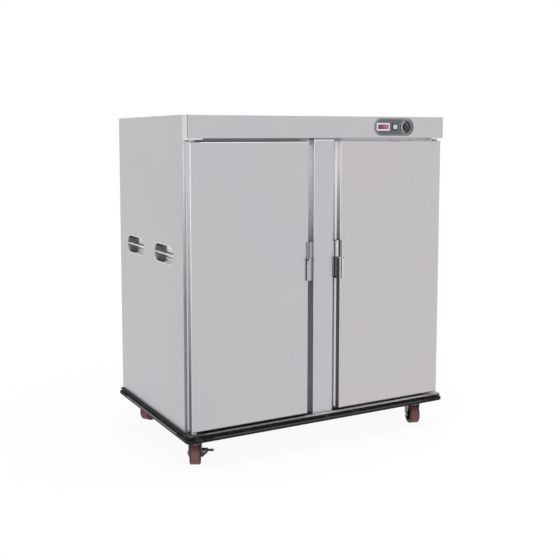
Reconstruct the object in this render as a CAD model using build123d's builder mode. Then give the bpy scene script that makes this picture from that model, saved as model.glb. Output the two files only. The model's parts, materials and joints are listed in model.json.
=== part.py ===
"""Two-door food warmer cart: an insulated stainless steel cabinet on four swivel casters.

Millimetres. X runs to the right, Y to the rear and Z up. The origin lies on the floor,
under the middle of the cart, and the doors face -Y.
"""

import os
from math import cos, radians, sin

from build123d import *

os.makedirs("parts", exist_ok=True)

# Driving dimensions: the cabinet
cabinet_width = 1400.0
cabinet_depth = 870.0
total_height = 1583.0
outer_sheet = 1.2
liner_sheet = 0.8
rear_wall = 48.0
frame_depth = 3.0
fascia_height = 103.0
fascia_fold = 1.8
wire_duct = 80.0
butt_gap = 0.3

# Driving dimensions: the doors
door_thickness = 48.0
door_side_inset = 10.5
door_gap = 15.0
door_fold = 6.0
gasket_thickness = 10.0
gasket_width = 16.0
gasket_inset = 5.0
gasket_bevel = 2.5
rim_depth = 16.0
rim_flange = 1.0
opening_lip = 1.0
panel_dyke = 6.0
dyke_margin = 34.0
dyke_taper = 30.0
running_gap = 0.3

# Driving dimensions: the pivot hinges
pin_radius = 6.0
pin_from_edge = 20.0
pin_depth = 25.0
hinge_plate_length = 76.0
hinge_plate_width = 52.0
hinge_reach = 8.0
hinge_plate_thick = 5.0
hinge_overhang = 6.0
washer_radius = 13.0

# Driving dimensions: the centre post and the latches
post_width = 110.0
post_setback = 8.0
post_fold = 5.0
post_channel = 33.5
latch_height = 181.0
latch_middle_z = 907.5
latch_cap_overlap = 12.0
latch_cap_thick = 6.0
latch_reach = 24.0
latch_depth = 36.0
latch_round = 3.0
lever_height = 103.0
lever_thick = 9.0
lever_round = 3.0
lever_lug = 5.0
lever_pin_radius = 2.0
strike_thick = 7.0
strike_margin = 5.0

# Driving dimensions: the controls on the fascia
panel_from_end = 303.0
panel_drop = 49.5
bezel_length = 238.0
bezel_height = 86.0
bezel_thick = 4.0
bezel_bevel_width = 7.0
bezel_bevel_depth = 3.0
fascia_cutout_margin = 3.0
display_x = -70.0
display_width = 76.0
display_height = 37.0
display_frame = 7.0
display_lip = 3.0
display_depth = 35.0
switch_x = 1.0
switch_width = 34.0
switch_height = 32.0
switch_lip = 2.5
switch_bevel = 0.8
switch_flange = 2.5
switch_depth = 25.0
rocker_width = 24.4
rocker_height = 20.4
rocker_rise = 4.0
rocker_tilt = 7.0
rocker_back = 7.0
rocker_end_room = 1.0
knob_x = 65.0
knob_radius = 22.0
knob_height = 10.0
knob_taper = 3.0
knob_bevel = 1.2
skirt_radius = 32.0
skirt_thick = 3.0
spindle_radius = 3.0
spindle_length = 14.0
sleeve_radius = 5.0
thermostat_width = 42.0
thermostat_height = 40.0
thermostat_depth = 30.0

# Driving dimensions: the recessed grips in the side panels
grip_length = 228.0
grip_height = 82.0
grip_depth = 36.0
grip_taper = 18.0
grip_spacing = 367.0
grip_middle_z = 950.0
grip_flange = 6.0
grip_bar_radius = 5.0
grip_bar_depth = 6.0

# Driving dimensions: the base and its bumper
caster_height = 130.0
base_height = 33.0
base_sheet = 2.0
base_corner = 10.0
side_rail_width = 140.0
end_rail_width = 60.0
ledge_width = 60.0
ledge_overhang = 15.0
bumper_reach = 20.0
bumper_lift = 3.0
bumper_bulge = 18.0
bumper_round = 7.0
bumper_web = 9.0
bumper_joint = 60.0

# Driving dimensions: the casters
caster_side_inset = 81.5
caster_front_inset = 121.5
caster_rear_inset = 110.0
caster_trail = 35.0
wheel_radius = 50.0
tread_width = 50.0
tread_bevel = 4.0
core_radius = 42.0
core_width = 46.0
rim_thick = 7.0
web_width = 22.0
hub_radius = 15.0
axle_radius = 6.0
nut_radius = 10.0
nut_thick = 6.0
nut_sides = 6
fork_gap = 55.0
fork_sheet = 3.0
fork_end_radius = 16.0
crown_thick = 5.0
crown_clear = 6.0
crown_nose = 18.0
crown_lip = 8.0
race_radius = 26.0
race_thick = 6.0
swivel_plate_length = 90.0
swivel_plate_width = 110.0
swivel_plate_thick = 6.0
plate_corner = 8.0
kingpin_radius = 6.0
kingpin_head = 11.0
kingpin_head_thick = 4.0
pedal_width = 22.0
pedal_reach = 32.0
pedal_thick = 4.0
pedal_pivot_radius = 2.5
pedal_boss = 5.0
pedal_stand_off = 22.0
pedal_pivot_z = 65.0
pedal_lug = 5.0
lug_drop = 30.0
caster_headings = {
    "front_left": (-1, -1, -117.0),
    "front_right": (1, -1, -109.5),
    "rear_left": (-1, 1, 35.0),
    "rear_right": (1, 1, 82.0),
}
braked_casters = ("front_left", "rear_right")

# Driving dimensions: inside the cavities
slide_pitch = 105.0
slide_first = 85.0
slide_top_room = 60.0
slide_leg = 25.0
slide_ledge = 22.0
slide_sheet = 1.5
slide_length = 680.0
cover_height = 50.0
cover_margin = 20.0
cover_sheet = 1.0
cover_slot_columns = 3
cover_slot_rows = 6
cover_slot_length = 110.0
cover_slot_width = 14.0
heater_radius = 4.25
heater_spacing = 220.0
heater_length = 560.0
heater_lift = 22.0
heater_flange_width = 290.0
heater_flange_height = 34.0
heater_flange_thick = 3.0
heater_exit_room = 4.0

# Driving dimensions: the cord gland at the rear
gland_z = 240.0
gland_radius = 8.0
gland_bore = 5.5
gland_collar_radius = 13.0
gland_collar = 14.0
gland_stem = 14.0
gland_nut = 5.0
gland_bevel = 2.75

# Places worked out from the driving dimensions
half_width = cabinet_width / 2
front_y = -cabinet_depth / 2
rear_y = cabinet_depth / 2
ledge_z = caster_height + base_height
fascia_z = total_height - fascia_height
door_back_y = front_y + door_thickness
skin_back_y = door_back_y - rim_depth
box_front_y = door_back_y + gasket_thickness
frame_back_y = box_front_y + frame_depth
cavity_back_y = rear_y - rear_wall
shell_x = half_width - outer_sheet
shell_top_z = total_height - outer_sheet
shell_floor_z = ledge_z + outer_sheet
door_outer_x = half_width - door_side_inset
door_inner_x = post_width / 2 + post_channel
door_bottom_z = ledge_z + door_gap
door_top_z = fascia_z - door_gap
gasket_hinge_inset = pin_from_edge + opening_lip
gasket_border = gasket_inset + gasket_width
opening_outer_x = door_outer_x - gasket_hinge_inset - gasket_width - opening_lip
opening_inner_x = door_inner_x + gasket_border + opening_lip
opening_bottom_z = door_bottom_z + gasket_border + opening_lip
opening_top_z = door_top_z - gasket_border - opening_lip
cavity_x = (opening_outer_x + opening_inner_x) / 2
cavity_width = opening_outer_x - opening_inner_x
pin_x = door_outer_x - pin_from_edge
pin_y = front_y + door_thickness / 2
side_middle_y = (box_front_y + rear_y) / 2
panel_x = half_width - panel_from_end
panel_z = total_height - panel_drop
bezel_front_y = front_y - bezel_thick
latch_bottom_z = latch_middle_z - latch_height / 2
latch_top_z = latch_middle_z + latch_height / 2
sides = {"left": -1, "right": 1}


def save(piece, name):
    """Label a finished piece and write it as its own file."""
    piece.part.label = name
    export_step(piece.part, f"parts/{name}.step")


def block(x_span, y_span, z_span, mode=Mode.ADD):
    """Add a box between two limits on each axis to the part being built."""
    spans = [sorted(span) for span in (x_span, y_span, z_span)]
    middle = [(low + high) / 2 for low, high in spans]
    size = [high - low for low, high in spans]
    with Locations(tuple(middle)):
        Box(*size, mode=mode)


def facing_front(y):
    """Plane at a depth y, drawn in (x, z) and extruded towards the doors."""
    return Plane.XZ.offset(-y)


def looking_right(x):
    """Plane at x, drawn in (y, z) and extruded to the right."""
    return Plane(origin=(x, 0, 0), x_dir=(0, 1, 0), z_dir=(1, 0, 0))


def facing_in(x, sign):
    """Plane at a side x, drawn in (y, z) and extruded towards the middle of the cart."""
    return Plane(origin=(x, 0, 0), x_dir=(0, 1, 0), z_dir=(-sign, 0, 0))


# Base frame: two wide side trays that carry the casters, two end rails and a middle rail
rail_inner_x = half_width - side_rail_width
base_top_z = ledge_z - outer_sheet
base_z = (caster_height, base_top_z)


def base_tray(x_span, y_span, rounded=0):
    """One folded tray of the base, open upwards, with rounded outer corners where asked."""
    with BuildPart() as tray:
        block(x_span, y_span, base_z)
        if rounded:
            corners = tray.edges().filter_by(Axis.Z).sort_by(Axis.X)
            fillet(corners[:2] if rounded < 0 else corners[2:], base_corner)
        offset(amount=-base_sheet, openings=tray.faces().sort_by(Axis.Z)[-1])
    return tray.part


with BuildPart() as base_frame:
    for sign in sides.values():
        add(base_tray((sign * half_width, sign * rail_inner_x), (front_y, rear_y), sign))
    rail_end = rail_inner_x - butt_gap
    add(base_tray((-rail_end, rail_end), (front_y, front_y + end_rail_width)))
    add(base_tray((-rail_end, rail_end), (rear_y - end_rail_width, rear_y)))
    spine_y = rear_y - end_rail_width - butt_gap
    add(base_tray((-end_rail_width / 2, end_rail_width / 2), (-spine_y, spine_y)))
save(base_frame, "base_frame")


# Bumper rail: a stainless ledge round the base with a flange behind the rubber bumper
bumper_z = caster_height + bumper_lift
joint_y = rear_y - bumper_joint
rail_corner = base_corner + outer_sheet


def cut_joints():
    """Part a ring into a front, a rear and two side lengths."""
    reach = cabinet_width + 2 * cabinet_depth
    for y in (-joint_y, joint_y):
        block((-reach, reach), (y - butt_gap / 2, y + butt_gap / 2), (0, total_height), Mode.SUBTRACT)


with BuildPart() as bumper_rail:
    with BuildSketch(Plane.XY.offset(bumper_z)):
        RectangleRounded(cabinet_width + 2 * outer_sheet, cabinet_depth + 2 * outer_sheet, rail_corner)
        RectangleRounded(cabinet_width, cabinet_depth, base_corner, mode=Mode.SUBTRACT)
    extrude(amount=base_top_z - bumper_z)
    with BuildSketch(Plane.XY.offset(base_top_z)):
        RectangleRounded(
            cabinet_width + 2 * ledge_overhang,
            cabinet_depth + 2 * ledge_overhang,
            base_corner + ledge_overhang,
        )
        Rectangle(cabinet_width - 2 * ledge_width, cabinet_depth - 2 * ledge_width, mode=Mode.SUBTRACT)
    extrude(amount=outer_sheet)
    cut_joints()
save(bumper_rail, "bumper_rail")

# Rubber bumper: a black strip pressed against the flange of the rail, with a bulge along its lower half
with BuildPart() as rubber_bumper:
    with BuildSketch(Plane.XY.offset(bumper_z)):
        RectangleRounded(
            cabinet_width + 2 * bumper_reach,
            cabinet_depth + 2 * bumper_reach,
            base_corner + bumper_reach,
        )
    extrude(amount=bumper_bulge)
    rims = rubber_bumper.faces().filter_by(Axis.Z).edges()
    fillet(rims, bumper_round)
    with BuildSketch(Plane.XY.offset(bumper_z)):
        RectangleRounded(
            cabinet_width + 2 * bumper_web,
            cabinet_depth + 2 * bumper_web,
            base_corner + bumper_web,
        )
    extrude(amount=base_top_z - bumper_z)
    with BuildSketch(Plane.XY.offset(bumper_z)):
        RectangleRounded(cabinet_width + 2 * outer_sheet, cabinet_depth + 2 * outer_sheet, rail_corner)
    extrude(amount=base_top_z - bumper_z, mode=Mode.SUBTRACT)
    cut_joints()
save(rubber_bumper, "rubber_bumper")


# Outer skin of the cabinet
grip_places = [side_middle_y - grip_spacing / 2, side_middle_y + grip_spacing / 2]
cup_size = (grip_length + 2 * liner_sheet, grip_height + 2 * liner_sheet)

with BuildPart() as floor_pan:
    block((-shell_x, shell_x), (box_front_y, rear_y - outer_sheet), (ledge_z, shell_floor_z))
save(floor_pan, "floor_pan")

with BuildPart() as roof_panel:
    block((-shell_x, shell_x), (box_front_y, rear_y), (shell_top_z, total_height))
save(roof_panel, "roof_panel")

with BuildPart() as rear_panel:
    block((-shell_x, shell_x), (rear_y - outer_sheet, rear_y), (ledge_z, shell_top_z))
    with BuildSketch(facing_front(rear_y)):
        with Locations((0, gland_z)):
            Circle(gland_radius + butt_gap)
    extrude(amount=outer_sheet, mode=Mode.SUBTRACT)
save(rear_panel, "rear_panel")

for side, sign in sides.items():
    with BuildPart() as side_panel:
        with BuildSketch(facing_in(sign * half_width, sign)):
            with Locations((side_middle_y, -sign * (ledge_z + total_height) / 2)):
                Rectangle(rear_y - box_front_y, total_height - ledge_z)
            with Locations(*[(y, -sign * grip_middle_z) for y in grip_places]):
                SlotOverall(cup_size[0] + butt_gap, cup_size[1] + butt_gap, mode=Mode.SUBTRACT)
        extrude(amount=outer_sheet)
    save(side_panel, f"{side}_side_panel")


# Front frame round the two openings, in five lengths
with BuildPart() as front_frame:
    depth_span = (box_front_y, frame_back_y)
    for sign in sides.values():
        block((sign * shell_x, sign * opening_outer_x), depth_span, (shell_floor_z, shell_top_z))
    stile_x = opening_outer_x - butt_gap
    block((-stile_x, stile_x), depth_span, (shell_floor_z, opening_bottom_z))
    block((-stile_x, stile_x), depth_span, (opening_top_z, shell_top_z))
    post_z = (opening_bottom_z + butt_gap, opening_top_z - butt_gap)
    block((-opening_inner_x, opening_inner_x), depth_span, post_z)
save(front_frame, "front_frame")


# Cavity liners: five stainless sheets round each cavity
with BuildPart() as cavity_liners:
    liner_y = (frame_back_y, cavity_back_y)
    low_z = opening_bottom_z - liner_sheet
    high_z = opening_top_z + liner_sheet
    for sign in sides.values():
        inner_x = sign * (opening_inner_x + butt_gap)
        outer_x = sign * (opening_outer_x - butt_gap)
        block((sign * opening_outer_x, sign * (opening_outer_x + liner_sheet)), liner_y, (low_z, high_z))
        block((sign * (opening_inner_x - liner_sheet), sign * opening_inner_x), liner_y, (low_z, high_z))
        block((inner_x, outer_x), liner_y, (low_z, opening_bottom_z))
        block((inner_x, outer_x), liner_y, (opening_top_z, high_z))
        back_y = (cavity_back_y + butt_gap, cavity_back_y + liner_sheet)
        block((sign * opening_inner_x, sign * opening_outer_x), back_y, (low_z, high_z))
save(cavity_liners, "cavity_liners")

# Insulation boards that fill the walls, with pockets for the grips and a duct for the wires
with BuildPart() as insulation:
    board_y = (frame_back_y, cavity_back_y)
    wall_x = opening_outer_x + liner_sheet
    for sign in sides.values():
        block((sign * shell_x, sign * wall_x), board_y, (shell_floor_z, shell_top_z))
        for y in grip_places:
            pocket_x = half_width - grip_depth - 2 * liner_sheet
            pocket_y = (y - cup_size[0] / 2 - liner_sheet, y + cup_size[0] / 2 + liner_sheet)
            pocket_z = cup_size[1] / 2 + liner_sheet
            block(
                (sign * shell_x, sign * pocket_x),
                pocket_y,
                (grip_middle_z - pocket_z, grip_middle_z + pocket_z),
                Mode.SUBTRACT,
            )
        duct_x = opening_inner_x - liner_sheet
        low_z = opening_bottom_z - liner_sheet + butt_gap
        high_z = opening_top_z + liner_sheet - butt_gap
        block((sign * wire_duct / 2, sign * duct_x), board_y, (low_z, high_z))
    between_x = wall_x - butt_gap
    block((-between_x, between_x), board_y, (shell_floor_z, opening_bottom_z - liner_sheet))
    block((-between_x, between_x), board_y, (opening_top_z + liner_sheet, shell_top_z))
    rear_span = (cavity_back_y + liner_sheet, rear_y - outer_sheet)
    block((-shell_x, shell_x), rear_span, (shell_floor_z, shell_top_z))
    gland_room = wire_duct / 2
    block((-gland_room, gland_room), rear_span, (gland_z - gland_room, gland_z + gland_room), Mode.SUBTRACT)
save(insulation, "insulation_boards")


# Centre post: a folded channel that stands between the doors
with BuildPart() as centre_post:
    block((-post_width / 2, post_width / 2), (front_y + post_setback, box_front_y), (ledge_z, fascia_z))
    fillet(centre_post.edges().filter_by(Axis.Z).sort_by(Axis.Y)[:2], post_fold)
    offset(amount=-outer_sheet, openings=centre_post.faces().sort_by(Axis.Y)[-1])
save(centre_post, "centre_post")

# Strikes: plates on the flanks of the post that the latches close against
strike_front_y = front_y + post_setback + post_fold
with BuildPart() as strikes:
    for sign in sides.values():
        block(
            (sign * post_width / 2, sign * (post_width / 2 + strike_thick)),
            (strike_front_y, strike_front_y + latch_depth),
            (latch_bottom_z + strike_margin, latch_top_z - strike_margin),
        )
    chamfer(strikes.edges().filter_by(Axis.X).group_by(Axis.Y)[0], latch_round)
save(strikes, "latch_strikes")

# Fascia: the folded header box over the doors, with a cut-out behind the control panel
cutout_reach = max(display_width / 2 - display_x, thermostat_width / 2 + knob_x) + fascia_cutout_margin
fascia_cutout = (2 * cutout_reach, max(thermostat_height, display_height) + 2 * fascia_cutout_margin)
with BuildPart() as fascia:
    block((-half_width, half_width), (front_y, box_front_y), (fascia_z, total_height))
    fillet(fascia.faces().sort_by(Axis.Y)[0].edges(), fascia_fold)
    offset(amount=-outer_sheet, openings=fascia.faces().sort_by(Axis.Y)[-1])
    with BuildSketch(facing_front(front_y + outer_sheet)):
        with Locations((panel_x, panel_z)):
            Rectangle(*fascia_cutout)
    extrude(amount=outer_sheet, mode=Mode.SUBTRACT)
save(fascia, "fascia")


# Control panel: bezel, display, rocker switch and thermostat
display_body = (display_width - display_frame, display_height - display_frame)
switch_body = (switch_width - 2 * switch_flange, switch_height - 2 * switch_flange)
display_place = (panel_x + display_x, panel_z)
switch_place = (panel_x + switch_x, panel_z)
knob_place = (panel_x + knob_x, panel_z)

with BuildPart() as control_bezel:
    with BuildSketch(facing_front(front_y)):
        with Locations((panel_x, panel_z)):
            SlotOverall(bezel_length, bezel_height)
    extrude(amount=bezel_thick)
    bezel_face = control_bezel.faces().sort_by(Axis.Y)[0]
    chamfer(bezel_face.edges(), bezel_bevel_width, bezel_bevel_depth, reference=bezel_face)
    with BuildSketch(facing_front(front_y)):
        with Locations(display_place):
            Rectangle(*display_body)
        with Locations(switch_place):
            Rectangle(*switch_body)
        with Locations(knob_place):
            Circle(sleeve_radius)
    extrude(amount=bezel_thick, mode=Mode.SUBTRACT)
save(control_bezel, "control_bezel")

window_size = (display_width - 2 * display_frame, display_height - 2 * display_frame)
window_thick = display_lip / 2
with BuildPart() as display_housing:
    with BuildSketch(facing_front(bezel_front_y)):
        with Locations(display_place):
            RectangleRounded(display_width, display_height, display_lip)
    extrude(amount=display_lip)
    with BuildSketch(facing_front(bezel_front_y)):
        with Locations(display_place):
            Rectangle(*display_body)
    extrude(amount=-display_depth)
    with BuildSketch(facing_front(bezel_front_y - display_lip)):
        with Locations(display_place):
            Rectangle(*window_size)
    extrude(amount=-window_thick, mode=Mode.SUBTRACT)
save(display_housing, "display_housing")

with BuildPart() as display_window:
    with BuildSketch(facing_front(bezel_front_y - display_lip + window_thick)):
        with Locations(display_place):
            Rectangle(window_size[0] - butt_gap, window_size[1] - butt_gap)
    extrude(amount=window_thick - butt_gap)
save(display_window, "display_window")

switch_front_y = bezel_front_y - switch_lip
rocker_well = (rocker_width + 2 * rocker_end_room, rocker_height + 2 * running_gap)
rocker_well_depth = rocker_back + switch_lip + running_gap
with BuildPart() as switch_housing:
    with BuildSketch(facing_front(bezel_front_y)):
        with Locations(switch_place):
            Rectangle(switch_width, switch_height)
    extrude(amount=switch_lip)
    chamfer(switch_housing.faces().sort_by(Axis.Y)[0].edges(), switch_bevel)
    with BuildSketch(facing_front(bezel_front_y)):
        with Locations(switch_place):
            Rectangle(*switch_body)
    extrude(amount=-switch_depth)
    with BuildSketch(facing_front(switch_front_y)):
        with Locations(switch_place):
            Rectangle(*rocker_well)
    extrude(amount=-rocker_well_depth, mode=Mode.SUBTRACT)
save(switch_housing, "switch_housing")

# Rocker cap: a shallow V in plan that turns about an upright pivot, tilted to its on side
rocker_plane = Plane(
    origin=(switch_place[0], bezel_front_y, panel_z - rocker_height / 2),
    x_dir=(cos(radians(rocker_tilt)), sin(radians(rocker_tilt)), 0),
    z_dir=(0, 0, 1),
)
rocker_half = rocker_width / 2
rocker_dip = rocker_half * sin(radians(rocker_tilt))
with BuildPart() as rocker_cap:
    with BuildSketch(rocker_plane):
        with BuildLine():
            front = Polyline(
                (-rocker_half, 0),
                (-rocker_half, -rocker_rise),
                (0, rocker_dip - rocker_rise),
                (rocker_half, -rocker_rise),
                (rocker_half, 0),
            )
            ThreePointArc(front @ 0, (0, rocker_back), front @ 1)
        make_face()
    extrude(amount=rocker_height)
save(rocker_cap, "rocker_cap")

with BuildPart() as thermostat_body:
    with BuildSketch(facing_front(front_y + thermostat_depth)):
        with Locations(knob_place):
            Rectangle(thermostat_width, thermostat_height)
    extrude(amount=thermostat_depth)
    with BuildSketch(facing_front(front_y)):
        with Locations(knob_place):
            Circle(sleeve_radius - butt_gap)
    extrude(amount=bezel_thick)
    with BuildSketch(facing_front(bezel_front_y)):
        with Locations(knob_place):
            Circle(spindle_radius + running_gap)
    extrude(amount=-spindle_length, mode=Mode.SUBTRACT)
save(thermostat_body, "thermostat_body")

skirt_back_y = bezel_front_y - running_gap
knob_section = Plane(origin=(knob_place[0], skirt_back_y, panel_z), x_dir=(1, 0, 0), z_dir=(0, 0, -1))
knob_top = skirt_thick + knob_height
knob_tip = knob_radius - knob_taper
with BuildPart() as thermostat_knob:
    with BuildSketch(knob_section):
        with BuildLine():
            Polyline(
                (0, running_gap - spindle_length),
                (spindle_radius, running_gap - spindle_length),
                (spindle_radius, 0),
                (skirt_radius, 0),
                (skirt_radius, skirt_thick),
                (knob_radius, skirt_thick),
                (knob_tip + knob_bevel, knob_top - knob_bevel),
                (knob_tip, knob_top),
                (0, knob_top),
                close=True,
            )
        make_face()
    revolve(axis=Axis(origin=knob_section.origin, direction=(0, -1, 0)))
save(thermostat_knob, "thermostat_knob")


# Recessed grips: a pressed cup in each hole of the side panels, with a bar across its mouth
with BuildPart() as grip_cups:
    for sign in sides.values():
        mouth = facing_in(sign * half_width, sign)
        places = [(y, -sign * grip_middle_z) for y in grip_places]
        with BuildSketch(mouth):
            with Locations(*places):
                SlotOverall(cup_size[0] + 2 * grip_flange, cup_size[1] + 2 * grip_flange)
        extrude(amount=-liner_sheet)
        with BuildSketch(mouth):
            with Locations(*places):
                SlotOverall(*cup_size)
        extrude(amount=grip_depth + liner_sheet, taper=grip_taper)
        with BuildSketch(mouth):
            with Locations(*places):
                SlotOverall(grip_length, grip_height)
        extrude(amount=-liner_sheet, mode=Mode.SUBTRACT)
        with BuildSketch(mouth):
            with Locations(*places):
                SlotOverall(grip_length, grip_height)
        extrude(amount=grip_depth, taper=grip_taper, mode=Mode.SUBTRACT)
save(grip_cups, "grip_cups")


def bars_of_side(sign):
    """The two bars of one side, ending flush with the sloped ends of their cups."""
    with BuildPart() as bars:
        with BuildSketch(facing_in(sign * half_width, sign)):
            with Locations(*[(y, -sign * grip_middle_z) for y in grip_places]):
                SlotOverall(grip_length, grip_height)
        extrude(amount=grip_depth, taper=grip_taper)
        with Locations((sign * (half_width - grip_bar_depth), side_middle_y, grip_middle_z)):
            Cylinder(grip_bar_radius, cabinet_depth, rotation=(90, 0, 0), mode=Mode.INTERSECT)
    return bars.part


with BuildPart() as grip_bars:
    for sign in sides.values():
        add(bars_of_side(sign))
save(grip_bars, "grip_bars")


# Pivot hinges: plates over and under the doors, each with its welded pin, and their washers
plate_x = half_width + hinge_overhang - hinge_plate_length / 2
plate_y = front_y - hinge_reach + hinge_plate_width / 2
upper_plate_z = fascia_z - hinge_plate_thick
lower_plate_z = ledge_z + hinge_plate_thick
with BuildPart() as hinge_plates:
    for sign in sides.values():
        for low_z in (ledge_z, upper_plate_z):
            with BuildSketch(Plane.XY.offset(low_z)):
                with Locations((sign * plate_x, plate_y)):
                    RectangleRounded(hinge_plate_length, hinge_plate_width, pin_radius)
            extrude(amount=hinge_plate_thick)
        with BuildSketch(Plane.XY.offset(lower_plate_z)):
            with Locations((sign * pin_x, pin_y)):
                Circle(pin_radius)
        extrude(amount=door_gap - hinge_plate_thick + pin_depth)
        with BuildSketch(Plane.XY.offset(upper_plate_z)):
            with Locations((sign * pin_x, pin_y)):
                Circle(pin_radius)
        extrude(amount=hinge_plate_thick - door_gap - pin_depth)
save(hinge_plates, "hinge_plates")

with BuildPart() as hinge_washers:
    for low_z in (lower_plate_z, door_top_z + running_gap):
        with BuildSketch(Plane.XY.offset(low_z)):
            with Locations((-pin_x, pin_y), (pin_x, pin_y)):
                Circle(washer_radius)
                Circle(pin_radius, mode=Mode.SUBTRACT)
        extrude(amount=door_gap - hinge_plate_thick - running_gap)
save(hinge_washers, "hinge_washers")


# Doors: a folded outer pan, a pressed inner panel, foam between them, and a pale seal whose carrier forms the
# rear rim of the door
door_span_z = (door_bottom_z, door_top_z)
dyke_x = (door_inner_x + dyke_margin, door_outer_x - dyke_margin - pin_from_edge)
dyke_size = (dyke_x[1] - dyke_x[0], door_top_z - door_bottom_z - 2 * dyke_margin)
dyke_z = (door_bottom_z + door_top_z) / 2
pocket_radius = pin_radius + running_gap

cap_front_y = front_y - latch_cap_thick
lever_back_y = cap_front_y - running_gap
lever_front_y = lever_back_y - lever_thick
lever_pivot_y = (lever_back_y + lever_front_y) / 2
lever_pivot_z = latch_bottom_z + lever_height - lever_thick / 2
lever_shoulder_z = lever_pivot_z - lever_thick / 2 - running_gap

for side, sign in sides.items():
    pin_place = (sign * pin_x, pin_y)

    with BuildPart() as door_skin:
        block((sign * door_outer_x, sign * door_inner_x), (front_y, skin_back_y), door_span_z)
        fillet(door_skin.faces().sort_by(Axis.Y)[0].edges(), door_fold)
        offset(amount=-outer_sheet, openings=door_skin.faces().sort_by(Axis.Y)[-1])
        with BuildSketch(Plane.XY.offset(door_bottom_z)):
            with Locations(pin_place):
                Circle(pocket_radius)
        extrude(amount=door_top_z - door_bottom_z, mode=Mode.SUBTRACT)
    save(door_skin, f"{side}_door_skin")

    edge_x = (sign * (door_outer_x - outer_sheet), sign * (door_inner_x + outer_sheet))
    core_z = (door_bottom_z + outer_sheet, door_top_z - outer_sheet)
    panel_front_y = door_back_y - outer_sheet
    with BuildPart() as door_foam:
        block(edge_x, (front_y + outer_sheet, panel_front_y), core_z)
        fillet(door_foam.faces().sort_by(Axis.Y)[0].edges(), door_fold - outer_sheet)
        for low_z in (door_bottom_z, door_top_z - pin_depth - running_gap):
            with BuildSketch(Plane.XY.offset(low_z)):
                with Locations(pin_place):
                    Circle(pocket_radius)
            extrude(amount=pin_depth + running_gap, mode=Mode.SUBTRACT)
    save(door_foam, f"{side}_door_foam")

    dyke_place = (sign * (dyke_x[0] + dyke_x[1]) / 2, dyke_z)
    with BuildPart() as door_panel:
        block(edge_x, (panel_front_y, door_back_y), core_z)
        with BuildSketch(facing_front(door_back_y)):
            with Locations(dyke_place):
                Rectangle(*dyke_size)
        extrude(amount=-panel_dyke, taper=dyke_taper)
        with BuildSketch(facing_front(panel_front_y)):
            with Locations(dyke_place):
                Rectangle(dyke_size[0], dyke_size[1])
        extrude(amount=-panel_dyke, taper=dyke_taper, mode=Mode.SUBTRACT)
    save(door_panel, f"{side}_door_panel")

    rim_y = (skin_back_y, door_back_y)
    flange_y = (door_back_y, door_back_y + rim_flange)
    seal_y = (door_back_y, box_front_y - running_gap)
    upright_z = (door_bottom_z + gasket_border + butt_gap, door_top_z - gasket_border - butt_gap)
    width_x = (sign * door_inner_x, sign * door_outer_x)
    seal_x = (sign * (door_inner_x + gasket_inset), sign * (door_outer_x - gasket_hinge_inset))
    with BuildPart() as door_gasket:
        for edge, inward, inset in ((door_outer_x, -1, gasket_hinge_inset), (door_inner_x, 1, gasket_inset)):
            seal_edge = edge + inward * inset
            seal_end = seal_edge + inward * gasket_width
            block((sign * edge, sign * (edge + inward * outer_sheet)), rim_y, upright_z)
            block((sign * edge, sign * seal_end), flange_y, upright_z)
            block((sign * seal_edge, sign * seal_end), seal_y, upright_z)
        for edge, inward in ((door_top_z, -1), (door_bottom_z, 1)):
            border_z = (edge, edge + inward * gasket_border)
            block(width_x, rim_y, (edge, edge + inward * outer_sheet))
            block(width_x, flange_y, border_z)
            block(seal_x, seal_y, (edge + inward * gasket_inset, border_z[1]))
            for end, step in ((door_outer_x, -outer_sheet), (door_inner_x, outer_sheet)):
                block((sign * end, sign * (end + step)), rim_y, border_z)
        lips = door_gasket.faces().filter_by(Axis.Y).group_by(Axis.Y)[-1]
        chamfer(lips.edges(), gasket_bevel)
    save(door_gasket, f"{side}_door_gasket")

    # Latch: a case on the free edge of the door, and the lever that hangs between its two lugs
    cap_x = sorted((sign * (door_inner_x + latch_cap_overlap), sign * (door_inner_x - latch_reach)))
    case_x = (sign * door_inner_x, sign * (door_inner_x - latch_reach))
    with BuildPart() as latch_case:
        block(cap_x, (cap_front_y, front_y), (latch_bottom_z, latch_top_z))
        fillet(latch_case.faces().sort_by(Axis.Y)[0].edges(), latch_round)
        block(case_x, (front_y, front_y + latch_depth), (latch_bottom_z, latch_top_z))
        for low_x in (cap_x[0], cap_x[1] - lever_lug):
            with BuildSketch(looking_right(low_x)):
                with Locations((lever_pivot_y, lever_pivot_z)):
                    Circle(lever_thick / 2)
                    Rectangle(lever_thick, lever_thick, align=(Align.MIN, Align.CENTER))
                    Circle(lever_pin_radius + running_gap, mode=Mode.SUBTRACT)
            extrude(amount=lever_lug)
    save(latch_case, f"{side}_latch_case")

    neck_x = (cap_x[0] + lever_lug + running_gap, cap_x[1] - lever_lug - running_gap)
    with BuildPart() as latch_lever:
        block(cap_x, (lever_front_y, lever_back_y), (latch_bottom_z, lever_shoulder_z))
        fillet(latch_lever.faces().sort_by(Axis.Y)[0].edges(), lever_round)
        with BuildSketch(looking_right(neck_x[0])):
            with Locations((lever_pivot_y, lever_pivot_z)):
                Circle(lever_thick / 2)
                Rectangle(lever_thick, lever_thick, align=(Align.CENTER, Align.MAX))
        extrude(amount=neck_x[1] - neck_x[0])
        with BuildSketch(looking_right(cap_x[0])):
            with Locations((lever_pivot_y, lever_pivot_z)):
                Circle(lever_pin_radius)
        extrude(amount=cap_x[1] - cap_x[0])
    save(latch_lever, f"{side}_latch_lever")


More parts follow.
